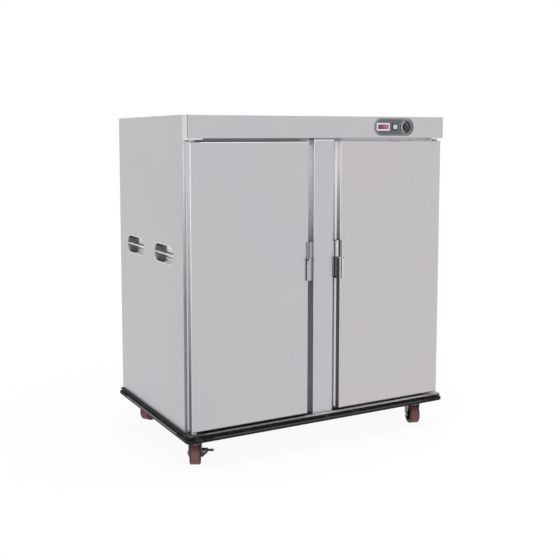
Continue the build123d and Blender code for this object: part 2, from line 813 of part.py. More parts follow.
# Tray slides: angles up both walls of each cavity, which carry the pans by their rims
cavity_middle_y = (frame_back_y + cavity_back_y) / 2
slide_rear_y = cavity_middle_y + slide_length / 2
slide_room = opening_top_z - opening_bottom_z - slide_first - slide_top_room
slide_levels = int(slide_room / slide_pitch) + 1
slide_heights = [opening_bottom_z + slide_first + level * slide_pitch for level in range(slide_levels)]
with BuildPart() as tray_slides:
    for sign in sides.values():
        for wall, inward in ((opening_inner_x, 1), (opening_outer_x, -1)):
            leg = wall + inward * slide_sheet
            ledge = wall + inward * slide_ledge
            for z in slide_heights:
                outline = [
                    (wall, z),
                    (ledge, z),
                    (ledge, z + slide_sheet),
                    (leg, z + slide_sheet),
                    (leg, z + slide_leg),
                    (wall, z + slide_leg),
                ]
                with BuildSketch(facing_front(slide_rear_y)):
                    with BuildLine():
                        Polyline(*[(sign * x, height) for x, height in outline], close=True)
                    make_face()
                extrude(amount=slide_length)
save(tray_slides, "tray_slides")

# Heaters: a hairpin element on a rear flange over the floor of each cavity, under a slotted cover
with BuildPart() as heater_elements:
    heater_rear_y = cavity_back_y - heater_flange_thick
    heater_z = opening_bottom_z + heater_lift
    bend = heater_spacing / 2
    for sign in sides.values():
        middle_x = sign * cavity_x
        with BuildSketch(facing_front(cavity_back_y)):
            with Locations((middle_x, heater_z)):
                Rectangle(heater_flange_width, heater_flange_height)
        extrude(amount=heater_flange_thick)
        with BuildLine(Plane.XY.offset(heater_z)) as hairpin:
            leg_end = heater_rear_y - heater_length + bend
            start = (middle_x - bend, heater_rear_y)
            Line(start, (middle_x - bend, leg_end))
            CenterArc((middle_x, leg_end), bend, 180, 180)
            Line((middle_x + bend, leg_end), (middle_x + bend, heater_rear_y))
        with BuildSketch(facing_front(heater_rear_y)):
            with Locations((middle_x - bend, heater_z)):
                Circle(heater_radius)
        sweep(path=hairpin.wires()[0])
save(heater_elements, "heater_elements")

with BuildPart() as heater_covers:
    cover_top_z = opening_bottom_z + cover_height
    cover_y = (frame_back_y + cover_margin, cavity_back_y - heater_flange_thick - cover_margin)
    cover_size = (cavity_width - 2 * cover_margin, cover_y[1] - cover_y[0])
    heater_exit = 2 * (heater_radius + heater_exit_room)
    for sign in sides.values():
        cover_place = (sign * cavity_x, sum(cover_y) / 2)
        with BuildSketch(Plane.XY.offset(opening_bottom_z)):
            with Locations(cover_place):
                Rectangle(*cover_size)
        extrude(amount=cover_height)
        with BuildSketch(Plane.XY.offset(opening_bottom_z)):
            with Locations(cover_place):
                Rectangle(cover_size[0] - 2 * cover_sheet, cover_size[1] - 2 * cover_sheet)
        extrude(amount=cover_height - cover_sheet, mode=Mode.SUBTRACT)
        with BuildSketch(Plane.XY.offset(cover_top_z)):
            with Locations(cover_place):
                with GridLocations(
                    cover_size[0] / cover_slot_columns,
                    cover_size[1] / cover_slot_rows,
                    cover_slot_columns,
                    cover_slot_rows,
                ):
                    Rectangle(cover_slot_length, cover_slot_width)
        extrude(amount=-cover_sheet, mode=Mode.SUBTRACT)
        with BuildSketch(facing_front(cover_y[1])):
            with Locations((sign * cavity_x, heater_z)):
                Rectangle(heater_spacing + heater_exit, heater_exit)
        extrude(amount=cover_sheet, mode=Mode.SUBTRACT)
save(heater_covers, "heater_covers")

# Cord gland low in the rear panel, with its nut inside the wire duct
with BuildPart() as cord_gland:
    with BuildSketch(facing_front(rear_y)):
        with Locations((0, gland_z)):
            Circle(gland_radius)
    extrude(amount=gland_stem)
    with BuildSketch(facing_front(rear_y)):
        with Locations((0, gland_z)):
            RegularPolygon(gland_collar_radius, nut_sides)
    extrude(amount=-gland_collar)
    chamfer(cord_gland.faces().sort_by(Axis.Y)[-1].edges(), gland_bevel)
    with BuildSketch(facing_front(rear_y - outer_sheet)):
        with Locations((0, gland_z)):
            RegularPolygon(gland_collar_radius, nut_sides)
    extrude(amount=gland_nut)
    with BuildSketch(facing_front(rear_y + gland_collar)):
        with Locations((0, gland_z)):
            Circle(gland_bore)
    extrude(amount=gland_collar + gland_stem, mode=Mode.SUBTRACT)
save(cord_gland, "cord_gland")


# Casters
crown_z = 2 * wheel_radius + crown_clear
boss_z = crown_z + crown_thick
plate_bottom_z = caster_height - swivel_plate_thick
race_z = plate_bottom_z - race_thick
cheek_y = fork_gap / 2
caster_x = half_width - caster_side_inset
caster_rows = {-1: front_y + caster_front_inset, 1: rear_y - caster_rear_inset}
bore_radius = axle_radius + running_gap


class CasterPlace:
    """Where one caster stands and which way its wheel trails."""

    def __init__(self, x_sign, y_sign, heading):
        self.swivel = Vector(x_sign * caster_x, caster_rows[y_sign], 0)
        self.trail = Vector(cos(radians(heading)), sin(radians(heading)), 0)
        self.across = Vector(-self.trail.Y, self.trail.X, 0)
        self.wheel = self.swivel + self.trail * caster_trail + Vector(0, 0, wheel_radius)

    def level(self, z):
        """Plane at a height z, drawn along and across the trail from the swivel."""
        return Plane(origin=self.swivel + Vector(0, 0, z), x_dir=self.trail, z_dir=(0, 0, 1))

    def upright(self, across):
        """Plane square to the axle, drawn along the trail and up from under the swivel."""
        return Plane(origin=self.swivel + self.across * across, x_dir=self.trail, z_dir=-self.across)

    def section(self):
        """Plane through the axle, drawn across and up from the middle of the wheel."""
        return Plane(origin=self.wheel, x_dir=self.across, z_dir=self.trail)

    def bracket(self, along):
        """Plane square to the trail, drawn across from the fork and up from the pivot of the pedal."""
        face = self.across * (cheek_y + fork_sheet) + Vector(0, 0, pedal_pivot_z)
        return Plane(origin=self.swivel + self.trail * along + face, x_dir=self.across, z_dir=self.trail)

    def axle(self):
        """The line that the wheel turns about."""
        return Axis(origin=self.wheel, direction=self.across)


casters = {name: CasterPlace(*place) for name, place in caster_headings.items()}

with BuildPart() as swivel_plates:
    for place in casters.values():
        with BuildSketch(Plane.XY.offset(plate_bottom_z)):
            with Locations((place.swivel.X, place.swivel.Y)):
                RectangleRounded(swivel_plate_length, swivel_plate_width, plate_corner)
        extrude(amount=swivel_plate_thick)
        with BuildSketch(place.level(race_z)):
            Circle(race_radius)
        extrude(amount=race_thick)
        head_top_z = crown_z - running_gap
        with BuildSketch(place.level(head_top_z - kingpin_head_thick)):
            Circle(kingpin_radius)
        extrude(amount=race_z - head_top_z + kingpin_head_thick)
        with BuildSketch(place.level(head_top_z - kingpin_head_thick)):
            Circle(kingpin_head)
        extrude(amount=kingpin_head_thick)
save(swivel_plates, "caster_swivel_plates")

crown_rear = fork_gap / 2 + fork_sheet
crown_front = caster_trail + fork_end_radius + crown_nose
crown_width = fork_gap + 2 * fork_sheet
lug_x = pedal_width / 2 + running_gap

for name, place in casters.items():
    with BuildPart() as fork:
        with BuildSketch(place.level(crown_z)):
            with Locations(((crown_front - crown_rear) / 2, 0)):
                RectangleRounded(crown_front + crown_rear, crown_width, plate_corner)
        extrude(amount=crown_thick)
        with BuildSketch(place.level(crown_z)):
            with Locations((crown_front - fork_sheet / 2, 0)):
                Rectangle(fork_sheet, crown_width - 2 * plate_corner)
        extrude(amount=-crown_lip)
        with BuildSketch(place.level(boss_z)):
            Circle(race_radius)
        extrude(amount=race_z - running_gap - boss_z)
        for across in (-cheek_y, cheek_y + fork_sheet):
            with BuildSketch(place.upright(across)):
                Polygon(
                    (plate_corner - crown_rear, crown_z),
                    (crown_front - plate_corner, crown_z),
                    (caster_trail + fork_end_radius, wheel_radius),
                    (caster_trail - fork_end_radius, wheel_radius),
                    align=None,
                )
                with Locations((caster_trail, wheel_radius)):
                    Circle(fork_end_radius)
                    Circle(axle_radius, mode=Mode.SUBTRACT)
            extrude(amount=fork_sheet)
        if name in braked_casters:
            lug_tip = pedal_stand_off + pedal_boss
            for along in (-lug_x - pedal_lug, lug_x):
                with BuildSketch(place.bracket(caster_trail + along)):
                    Polygon(
                        (0, pedal_boss),
                        (lug_tip, pedal_boss),
                        (lug_tip, -pedal_boss),
                        (0, -lug_drop),
                        align=None,
                    )
                    with Locations((pedal_stand_off, 0)):
                        Circle(pedal_pivot_radius + running_gap, mode=Mode.SUBTRACT)
                extrude(amount=pedal_lug)
        with BuildSketch(place.level(crown_z)):
            Circle(kingpin_radius + running_gap)
        extrude(amount=crown_thick + race_z - boss_z, mode=Mode.SUBTRACT)
    save(fork, f"{name}_fork")

    with BuildPart() as axle:
        end = cheek_y + fork_sheet
        with BuildSketch(place.section()):
            Rectangle(2 * (end + nut_thick), axle_radius, align=(Align.CENTER, Align.MIN))
        revolve(axis=place.axle())
        for across in (-end, end + nut_thick):
            with BuildSketch(place.upright(across)):
                with Locations((caster_trail, wheel_radius)):
                    RegularPolygon(nut_radius, nut_sides)
            extrude(amount=nut_thick)
    save(axle, f"{name}_axle")

    with BuildPart() as wheel_core:
        hub_half = cheek_y - 2 * running_gap
        with BuildSketch(place.section()):
            with Locations((0, bore_radius)):
                Rectangle(web_width, core_radius - bore_radius, align=(Align.CENTER, Align.MIN))
                Rectangle(2 * hub_half, hub_radius - bore_radius, align=(Align.CENTER, Align.MIN))
            with Locations((0, core_radius)):
                Rectangle(core_width, rim_thick, align=(Align.CENTER, Align.MAX))
        revolve(axis=place.axle())
    save(wheel_core, f"{name}_wheel_core")

    with BuildPart() as tyre:
        with BuildSketch(place.section()) as tyre_profile:
            with Locations((0, core_radius)):
                Rectangle(tread_width, wheel_radius - core_radius, align=(Align.CENTER, Align.MIN))
            chamfer(tyre_profile.vertices().group_by(Axis.Z)[-1], tread_bevel)
        revolve(axis=place.axle())
    save(tyre, f"{name}_tyre")

    if name in braked_casters:
        with BuildPart() as pedal:
            with BuildSketch(place.bracket(caster_trail - pedal_width / 2)):
                with Locations((pedal_stand_off, 0)):
                    Circle(pedal_boss - running_gap)
                    Rectangle(pedal_reach, pedal_thick, align=(Align.MIN, Align.CENTER))
            extrude(amount=pedal_width)
            with BuildSketch(place.bracket(caster_trail - lug_x - pedal_lug)):
                with Locations((pedal_stand_off, 0)):
                    Circle(pedal_pivot_radius)
            extrude(amount=2 * (lug_x + pedal_lug))
        save(pedal, f"{name}_brake_pedal")
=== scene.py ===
"""Food warmer cart: finishes for every CAD node, its small fittings, and a plain studio round it."""

import json
from math import cos, pi, radians

import bmesh
import bpy
from bpy.props import FloatProperty, FloatVectorProperty, PointerProperty
from mathutils import Matrix, Vector


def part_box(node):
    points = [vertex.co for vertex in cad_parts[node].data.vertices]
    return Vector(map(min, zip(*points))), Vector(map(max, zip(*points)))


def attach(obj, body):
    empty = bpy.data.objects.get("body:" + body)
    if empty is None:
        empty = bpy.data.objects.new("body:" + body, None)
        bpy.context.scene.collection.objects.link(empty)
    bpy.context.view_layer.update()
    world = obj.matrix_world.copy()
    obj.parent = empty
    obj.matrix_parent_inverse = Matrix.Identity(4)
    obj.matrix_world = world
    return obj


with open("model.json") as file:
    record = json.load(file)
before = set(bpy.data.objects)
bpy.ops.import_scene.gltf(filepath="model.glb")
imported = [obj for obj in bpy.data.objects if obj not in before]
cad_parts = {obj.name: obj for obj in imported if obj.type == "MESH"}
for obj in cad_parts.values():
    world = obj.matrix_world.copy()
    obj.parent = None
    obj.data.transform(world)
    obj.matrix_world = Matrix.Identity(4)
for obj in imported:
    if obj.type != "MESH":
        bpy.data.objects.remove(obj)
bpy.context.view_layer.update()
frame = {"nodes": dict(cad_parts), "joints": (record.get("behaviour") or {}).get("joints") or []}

bl_info = {
    "name": "Food Warmer Cart",
    "version": (1, 0, 0),
    "blender": (4, 5, 0),
    "location": "3D View > Sidebar > Cart",
    "description": "Finishes, fittings and studio for a two-door food warmer cart",
    "category": "Object",
}

MM = 0.001
SIDES = ("left", "right")
CORNERS = ("front_left", "front_right", "rear_left", "rear_right")
BRAKED = ("front_left", "rear_right")
JOINTS = {joint["name"]: joint for joint in frame["joints"]}

BLACK, WHITE = (0, 0, 0, 1), (1, 1, 1, 1)
# A corner of a box on a piece that sets no limit.
OPEN = (None, None, None)
# Sockets that a Mix node for colours knows by number only: the share and both colours.
SHARE, FIRST, SECOND = 0, 6, 7


def linear(text):
    """Turn an sRGB hex colour into the linear values that Blender's sockets take."""
    shares = [int(text[i : i + 2], 16) / 255 for i in (1, 3, 5)]
    return tuple(s / 12.92 if s <= 0.04045 else ((s + 0.055) / 1.055) ** 2.4 for s in shares)


def colour_property(name, description, text):
    """A colour that a user can change, given as sRGB hex."""
    return FloatVectorProperty(
        name=name, description=description, subtype="COLOR", size=3, min=0, max=1, default=linear(text)
    )


def length_property(name, description, millimetres):
    """A length that a user can change, given in millimetres."""
    return FloatProperty(
        name=name, description=description, subtype="DISTANCE", unit="LENGTH", default=millimetres * MM
    )


def angle_property(name, description, degrees):
    """An angle that a user can change, given in degrees."""
    return FloatProperty(name=name, description=description, subtype="ANGLE", default=radians(degrees))


def power_property(name, description, watts):
    """A lamp's power that a user can change, given in watts."""
    return FloatProperty(name=name, description=description, subtype="POWER", unit="POWER", default=watts)


class CartColours(bpy.types.PropertyGroup):
    """Colours of the cart's finishes."""

    satin: colour_property("Satin stainless", "Left door, fascia, roof and floor pan", "#C3C2C5")
    side_satin: colour_property("Side satin", "Side and rear panels, from a duller coil of sheet", "#BEBDC0")
    warm_satin: colour_property("Warm satin", "Right door, from another coil of sheet", "#C6C3C4")
    post_satin: colour_property("Cool satin", "Centre post, from another coil of sheet", "#C2C1C8")
    # Painted shade and painted light on the folded sides of the doors, the post and the fascia's ends.
    flank_foot: colour_property("Door flank, low", "Outer sides of the doors, low down", "#555559")
    flank_head: colour_property("Door flank, high", "Outer sides of the doors, high up", "#C8C8CC")
    channel_foot: colour_property("Channel, low", "Door sides by the post, low down", "#A0A0A5")
    post_foot: colour_property("Post flank, low", "Sides of the centre post, low down", "#DCDCE2")
    channel_head: colour_property("Channel, high", "Sides of the channels by the post, high up", "#FAFAFC")
    fascia_flank: colour_property("Fascia ends", "Folded ends of the fascia", "#D4D4D6")
    # Painted light and shade on the front frame: near-white in the shaded gaps, darker low down, shadow under
    # the fascia.
    frame_satin: colour_property("Frame", "Front frame behind the doors", "#FAFAFC")
    frame_foot: colour_property("Frame, low", "Front frame near the floor, dulled by use", "#A2A2A6")
    frame_tarnish: colour_property("Frame tarnish", "Front frame where warm air leaves a cavity", "#C2C2C6")
    # Painted reflection: the bright parts of the cups of the grips.
    mirror: colour_property("Mirror stainless", "Bright parts of the cups of the grips", "#F4F4F6")
    # Painted shade: a dark line on the folds at the ends of the fascia.
    tarnish: colour_property("Tarnish", "Dull folds at the ends of the fascia", "#77777C")
    # Painted light and shade on the rail over the bumper: a bright edge line, near-black shade on the rest
    # and lip.
    ledge: colour_property("Ledge rail", "Bare front edge of the rail over the bumper", "#DADADD")
    ledge_coat: colour_property("Ledge coat", "Coated top and ends of the rail over the bumper", "#242427")
    ledge_lip: colour_property("Ledge lip", "Rubber-black front lip of the rail over the bumper", "#060607")
    mill: colour_property("Mill stainless", "Liners, slides and inner door panels", "#BABBBE")
    bright: colour_property("Bright stainless", "Grip bars, strikes, screws and trim ring", "#CFCFD2")
    # Painted shade and painted reflections in the cups; the grey one is also the post's painted shadow.
    cup: colour_property("Pressed cups", "Dark parts of the cups of the grips", "#7C7C80")
    cup_line: colour_property("Cup lines", "Dark lines by the bars, mirrored in the cups", "#3C3C40")
    hinge: colour_property("Hinge plates", "Plates over the doors", "#E6E6EA")
    # Painted shade on the hinge plates under the doors, darker on the left.
    left_hinge: colour_property("Left low hinge", "Soiled plate under the left door", "#5A565A")
    right_hinge: colour_property("Right low hinge", "Dulled plate under the right door", "#A8A6A8")
    # Painted shade in the deep corners of the cups.
    cup_shade: colour_property("Cup shade", "Deep corners of the cups of the grips", "#505055")
    nylon: colour_property("Natural nylon", "Washers of the hinges", "#CFCFCB")
    # Painted reflections and shade on the plated latches.
    latch_gap: colour_property("Latch gap", "Dark gap that the latch cases mirror", "#19191D")
    latch_dark: colour_property("Latch shade", "Dark bands that the plated latches mirror", "#3A3A40")
    latch_grey: colour_property("Latch grey", "Plain tone of the plated latches", "#85858A")
    latch_light: colour_property("Latch light", "Light bands that the plated latches mirror", "#CDCDD2")
    zinc: colour_property("Zinc plate", "Axles, nuts and bolts", "#D0D4D6")
    dark_zinc: colour_property("Dark zinc plate", "Forks and caster plates", "#47494B")
    coat: colour_property("Powder coat", "Base frame and pedals", "#1D1D1F")
    rubber: colour_property("Bumper rubber", "Bumper round the base", "#0B0B0C")
    scuff: colour_property("Scuffs", "Grey rub marks on rubber and coated steel", "#55555A")
    # Painted sheen along the nose of the bumper, paler on the sides.
    front_rub: colour_property("Front rub line", "Rubbed nose of the bumper, front and rear", "#3E3E42")
    side_rub: colour_property("Side rub line", "Rubbed nose of the bumper along the sides", "#6A6A6E")
    # Painted light and shade on the seals: the right one glows, the left one is a darker copy.
    seal: colour_property("Pale seal", "Seal of the right door", "#D4D4D7")
    grey_seal: colour_property("Greyed seal", "Seal of the left door, greyed by wear", "#BDBDC1")
    foam: colour_property("Foam", "Insulation of the walls and doors", "#D9C88E")
    bezel: colour_property("Bezel", "Panel round the controls", "#5B6264")
    # Painted light on the sloped rim of the bezel.
    bezel_slope: colour_property("Bezel slope", "Sloped rim of the panel round the controls", "#7C7C83")
    white_plastic: colour_property("White plastic", "Frame of the display and marks", "#DCD8DE")
    window: colour_property("Display window", "Dark end of the red window", "#4A3844")
    window_lit: colour_property("Lit window", "Lit end of the red window", "#964C70")
    digits: colour_property("Digits", "Lit segments of the display", "#CE7BA2")
    black_plastic: colour_property("Black plastic", "Switch and knob", "#1F2024")
    rocker: colour_property("Rocker", "Lit cap of the switch", "#BCC6C8")
    tread: colour_property("Tread", "Polyurethane tread of the casters", "#714649")
    # Painted shade on the shoulders of the tread.
    tread_dirt: colour_property("Tread dirt", "Shoulders of the tread, where floor dirt stays", "#2E2022")
    core: colour_property("Wheel core", "Moulded core of the casters and the cord gland", "#1C1D1F")
    sheath: colour_property("Heater sheath", "Heat-tinted sheath of the elements", "#6B625A")


class CartSizes(bpy.types.PropertyGroup):
    """Sizes of the small fittings."""

    bolt_flats: length_property("Bolt flats", "Across the flats of the caster bolts", 13)
    bolt_height: length_property("Bolt height", "Height of the caster bolts' heads", 5.2)
    screw_radius: length_property("Screw radius", "Radius of the screw heads", 4.6)
    screw_height: length_property("Screw height", "Height of the screw heads", 2.2)
    rivet_radius: length_property("Rivet radius", "Radius of the rivet heads on the slides", 3.4)
    rivet_height: length_property("Rivet height", "Height of the rivet heads on the slides", 1.5)
    digit_height: length_property("Digit height", "Height of a digit of the display", 14.5)
    digit_pitch: length_property("Digit pitch", "Distance between digits", 14)
    ring_radius: length_property("Ring radius", "Middle radius of the trim ring round the knob", 34.3)
    ring_width: length_property("Ring width", "Width of the trim ring round the knob", 2)
    print_thick: length_property("Print thickness", "How far printed marks stand proud", 0.25)


class CartStudio(bpy.types.PropertyGroup):
    """Camera, lamps and floor."""

    camera_place: FloatVectorProperty(
        name="Camera place",
        description="Where the camera stands",
        subtype="TRANSLATION",
        unit="LENGTH",
        default=(-2.205, -3.838, 1.483),
    )
    yaw: angle_property("Yaw", "Camera turn to the right of +Y", 27.64)
    pitch: angle_property("Pitch", "Camera tilt below level", 5.45)
    roll: angle_property("Roll", "Camera turn about its view", -0.13)
    lens: FloatProperty(
        name="Lens", description="Focal length", subtype="DISTANCE_CAMERA", unit="CAMERA", default=55.52
    )
    shift: FloatVectorProperty(
        name="Shift", description="Shift of the picture", size=2, subtype="XYZ", default=(0.0625, -0.107)
    )
    floor: colour_property("Floor", "Colour of the floor", "#F7F7F7")
    sky: FloatProperty(
        name="Sky", description="Strength of the world's light", subtype="FACTOR", min=0, max=2, default=0.8
    )
    top_lamp: power_property("Top lamp", "Power of the lamp overhead", 60)
    left_lamp: power_property("Left lamp", "Power of the strip lamp on the left", 45)
    right_lamp: power_property("Right lamp", "Power of the strip lamp on the right", 12)


def add_node(tree, kind, settings=(), links=()):
    """Add a node, give it its settings and link its sockets; a linked node gives its first output in use."""
    made = tree.nodes.new(kind)
    for name, value in dict(settings).items():
        if isinstance(name, int) or name in made.inputs:
            made.inputs[name].default_value = value
        else:
            setattr(made, name, value)
    for name, source in dict(links).items():
        if isinstance(source, bpy.types.Node):
            source = next(socket for socket in source.outputs if socket.enabled)
        tree.links.new(source, made.inputs[name])
    return made


def start_material(name):
    """An empty material, with the place on the piece and the way it faces, for patterns to go by."""
    material = bpy.data.materials.new(name)
    material.use_nodes = True
    tree = material.node_tree
    tree.nodes.clear()
    coordinates = add_node(tree, "ShaderNodeTexCoord").outputs
    return material, tree, coordinates["Object"], coordinates["Normal"]


def close_material(material, settings, links):
    """Give a material its surface."""
    tree = material.node_tree
    surface = add_node(tree, "ShaderNodeBsdfPrincipled", settings, links)
    add_node(tree, "ShaderNodeOutputMaterial", links={"Surface": surface})
    return material


def shaded(colour, share=1.0):
    """A colour with alpha, made darker or lighter by a share."""
    return (*[min(1.0, part * share) for part in colour[:3]], 1.0)


def colours():
    """The colours in use."""
    return bpy.context.scene.cart_colours


def rising(tree, vector, axis, start, full):
    """Nought at one value of a vector's part and one at another, evenly between them and level beyond."""
    parts = add_node(tree, "ShaderNodeSeparateXYZ", links={"Vector": vector})
    limits = {"From Min": start, "From Max": full}
    return add_node(tree, "ShaderNodeMapRange", limits, {"Value": parts.outputs[axis]})


def roughened(tree, pattern, smooth, rough):
    """A roughness that goes with a noise, which lies mostly between the two limits here."""
    noise_low, noise_high = 0.3, 0.7
    limits = {"From Min": noise_low, "From Max": noise_high, "To Min": smooth, "To Max": rough}
    return add_node(tree, "ShaderNodeMapRange", limits, {"Value": pattern})


def inside(tree, place, low, high):
    """One within a box on the piece and nought outside it; a limit of None is left open."""
    parts = add_node(tree, "ShaderNodeSeparateXYZ", links={"Vector": place})
    kept = None
    for axis, limits in enumerate(zip(low, high)):
        for limit, test in zip(limits, ("GREATER_THAN", "LESS_THAN")):
            if limit is None:
                continue
            passed = add_node(tree, "ShaderNodeMath", {"operation": test, 1: limit}, {0: parts.outputs[axis]})
            if kept is not None:
                passed = add_node(tree, "ShaderNodeMath", {"operation": "MULTIPLY"}, {0: kept, 1: passed})
            kept = passed
    return kept


def in_boxes(tree, place, shades):
    """Layers of tone that each lie within a box on the piece."""
    return [(inside(tree, place, low, high), tone) for low, high, tone in shades]


def lay_tones(tree, colour, layers):
    """Lay tones over a colour in order, each by its own share."""
    for share, tone in layers:
        settings = {"data_type": "RGBA", SECOND: shaded(tone)}
        colour = add_node(tree, "ShaderNodeMix", settings, {SHARE: share, FIRST: colour})
    return colour


# Belt-ground stainless: fine streaks along the sheet that blur reflections, and faint cloudy patches.
def satin_stainless(name, colour, along, flanks=(), shades=()):
    material, tree, place, normal = start_material(name)
    streak_width = 1.6 * MM  # real grain is near 0.1 mm, drawn coarser so that it shows
    streak_length = 140 * MM
    streak_contrast = 0.045
    patch, patch_share = 420 * MM, 0.05
    scale = [1 / streak_width] * 3
    scale[along] = 1 / streak_length
    stretched = add_node(tree, "ShaderNodeMapping", {"Scale": scale}, {"Vector": place})
    streaks = add_node(tree, "ShaderNodeTexNoise", {"Scale": 1.0, "Detail": 3.0}, {"Vector": stretched})
    patches = add_node(tree, "ShaderNodeTexNoise", {"Scale": 1 / patch, "Detail": 1.0}, {"Vector": place})
    dark, light = shaded(colour, 1 - streak_contrast), shaded(colour, 1 + streak_contrast)
    settings = {"data_type": "RGBA", FIRST: dark, SECOND: light}
    streaky = add_node(tree, "ShaderNodeMix", settings, {SHARE: streaks})
    settings = {"data_type": "RGBA", "blend_type": "MULTIPLY", SHARE: patch_share}
    body = add_node(tree, "ShaderNodeMix", settings, {FIRST: streaky, SECOND: patches.outputs["Color"]})
    # Painted light and shade on the folded sides: they are drawn in other tones than the face, with painted
    # shade near the floor and painted light towards the top.
    fold_start, fold_full = 0.90, 0.99
    for side, painted_tone_low, painted_tone_high, foot, head in flanks:
        settings = {"data_type": "RGBA", FIRST: shaded(painted_tone_low), SECOND: shaded(painted_tone_high)}
        paling = add_node(tree, "ShaderNodeMix", settings, {SHARE: rising(tree, place, "Z", foot, head)})
        turned = rising(tree, normal, "X", fold_start * side, fold_full * side)
        links = {SHARE: turned, FIRST: body, SECOND: paling}
        body = add_node(tree, "ShaderNodeMix", {"data_type": "RGBA"}, links)
    body = lay_tones(tree, body, in_boxes(tree, place, shades))
    bump = add_node(tree, "ShaderNodeBump", {"Strength": 0.06, "Distance": 0.05 * MM}, {"Height": streaks})
    rough = roughened(tree, streaks, 0.30, 0.38)
    links = {"Base Color": body, "Roughness": rough, "Normal": bump}
    return close_material(material, {"Metallic": 1.0}, links)


# Moulded, cast, rolled and coated finishes: two tones of one colour in grains of the real size, roughness and
# bump to suit, and over these rub marks and, in some places, painted light and shade.
def grained(
    name, colour, grain, spread, roughness, bump_depth, metallic=0.0, glow=0.0, dark_back=False, specular=0.5,
    rubbed=None, mark=45 * MM, slope_light=None, foot=None, shoulders=None, shades=()
):
    material, tree, place, normal = start_material(name)
    grains = add_node(tree, "ShaderNodeTexNoise", {"Scale": 1 / grain, "Detail": 3.0}, {"Vector": place})
    settings = {"data_type": "RGBA", FIRST: shaded(colour, 1 - spread), SECOND: shaded(colour, 1 + spread)}
    grainy = add_node(tree, "ShaderNodeMix", settings, {SHARE: grains})
    layers = []
    if rubbed is not None:
        # Rub marks in a paler tone, where the piece is knocked about.
        marks = add_node(tree, "ShaderNodeTexNoise", {"Scale": 1 / mark, "Detail": 5.0}, {"Vector": place})
        settings = {"From Min": 0.56, "From Max": 0.74, "To Max": 0.6}
        worn = add_node(tree, "ShaderNodeMapRange", settings, {"Value": marks})
        layers.append((worn, rubbed))
    if slope_light is not None:
        # Painted light: sloped rims are drawn paler, as if they caught the room's light from above and below.
        level, sloped = 0.98, 0.94
        facing_out = add_node(tree, "ShaderNodeVectorMath", {"operation": "ABSOLUTE"}, {0: normal})
        layers.append((rising(tree, facing_out, "Y", level, sloped), slope_light))
    if foot is not None:
        # Painted shade: the finish is drawn darker near the floor.
        painted_tone_low, foot_height, head_height = foot
        layers.append((rising(tree, place, "Z", head_height, foot_height), painted_tone_low))
    if shoulders is not None:
        # Painted shade: the shoulders of a wheel are drawn darker, for depth.
        shoulder_shade, centre, axle, half_width = shoulders
        clean, soiled, most = half_width * 0.55, half_width * 0.85, 0.85
        offset = add_node(tree, "ShaderNodeVectorMath", {"operation": "SUBTRACT", 1: centre}, {0: place})
        along = add_node(tree, "ShaderNodeVectorMath", {"operation": "DOT_PRODUCT", 1: axle}, {0: offset})
        reach = add_node(tree, "ShaderNodeMath", {"operation": "ABSOLUTE"}, {0: along})
        settings = {"From Min": clean, "From Max": soiled, "To Max": most}
        layers.append((add_node(tree, "ShaderNodeMapRange", settings, {"Value": reach}), shoulder_shade))
    layers += in_boxes(tree, place, shades)
    body = lay_tones(tree, grainy, layers)
    bump = add_node(tree, "ShaderNodeBump", {"Strength": 0.35, "Distance": bump_depth}, {"Height": grains})
    rough = roughened(tree, grains, *roughness)
    links = {"Base Color": body, "Roughness": rough, "Normal": bump}
    if dark_back:
        # The painted glow stays off the faces that look back at the cabinet.
        back, edge = 0.7, 0.3
        settings = {"data_type": "RGBA", FIRST: BLACK, SECOND: shaded(colour)}
        away = rising(tree, normal, "Y", back, edge)
        links["Emission Color"] = add_node(tree, "ShaderNodeMix", settings, {SHARE: away})
    settings = {"Metallic": metallic, "Specular IOR Level": specular}
    settings.update({"Emission Color": shaded(colour), "Emission Strength": glow})
    return close_material(material, settings, links)


# Red acrylic over the digits: smooth and glossy, dark at its left end and lit from behind at its right.
def lit_acrylic(name, dark, lit, left, right):
    material, tree, place, _ = start_material(name)
    cloud, cloud_share = 9 * MM, 0.5
    haze = add_node(tree, "ShaderNodeTexNoise", {"Scale": 1 / cloud, "Detail": 2.0}, {"Vector": place})
    settings = {"operation": "MULTIPLY_ADD", 1: cloud_share, 2: -cloud_share / 2}
    cloudy = add_node(tree, "ShaderNodeMath", settings, {0: haze})
    links = {0: rising(tree, place, "X", left, right), 1: cloudy}
    share = add_node(tree, "ShaderNodeMath", {"operation": "ADD", "use_clamp": True}, links)
    settings = {"data_type": "RGBA", FIRST: shaded(dark), SECOND: shaded(lit)}
    tone = add_node(tree, "ShaderNodeMix", settings, {SHARE: share})
    settings = {"Roughness": 0.12, "Emission Strength": 0.12}
    return close_material(material, settings, {"Base Color": tone, "Emission Color": tone})


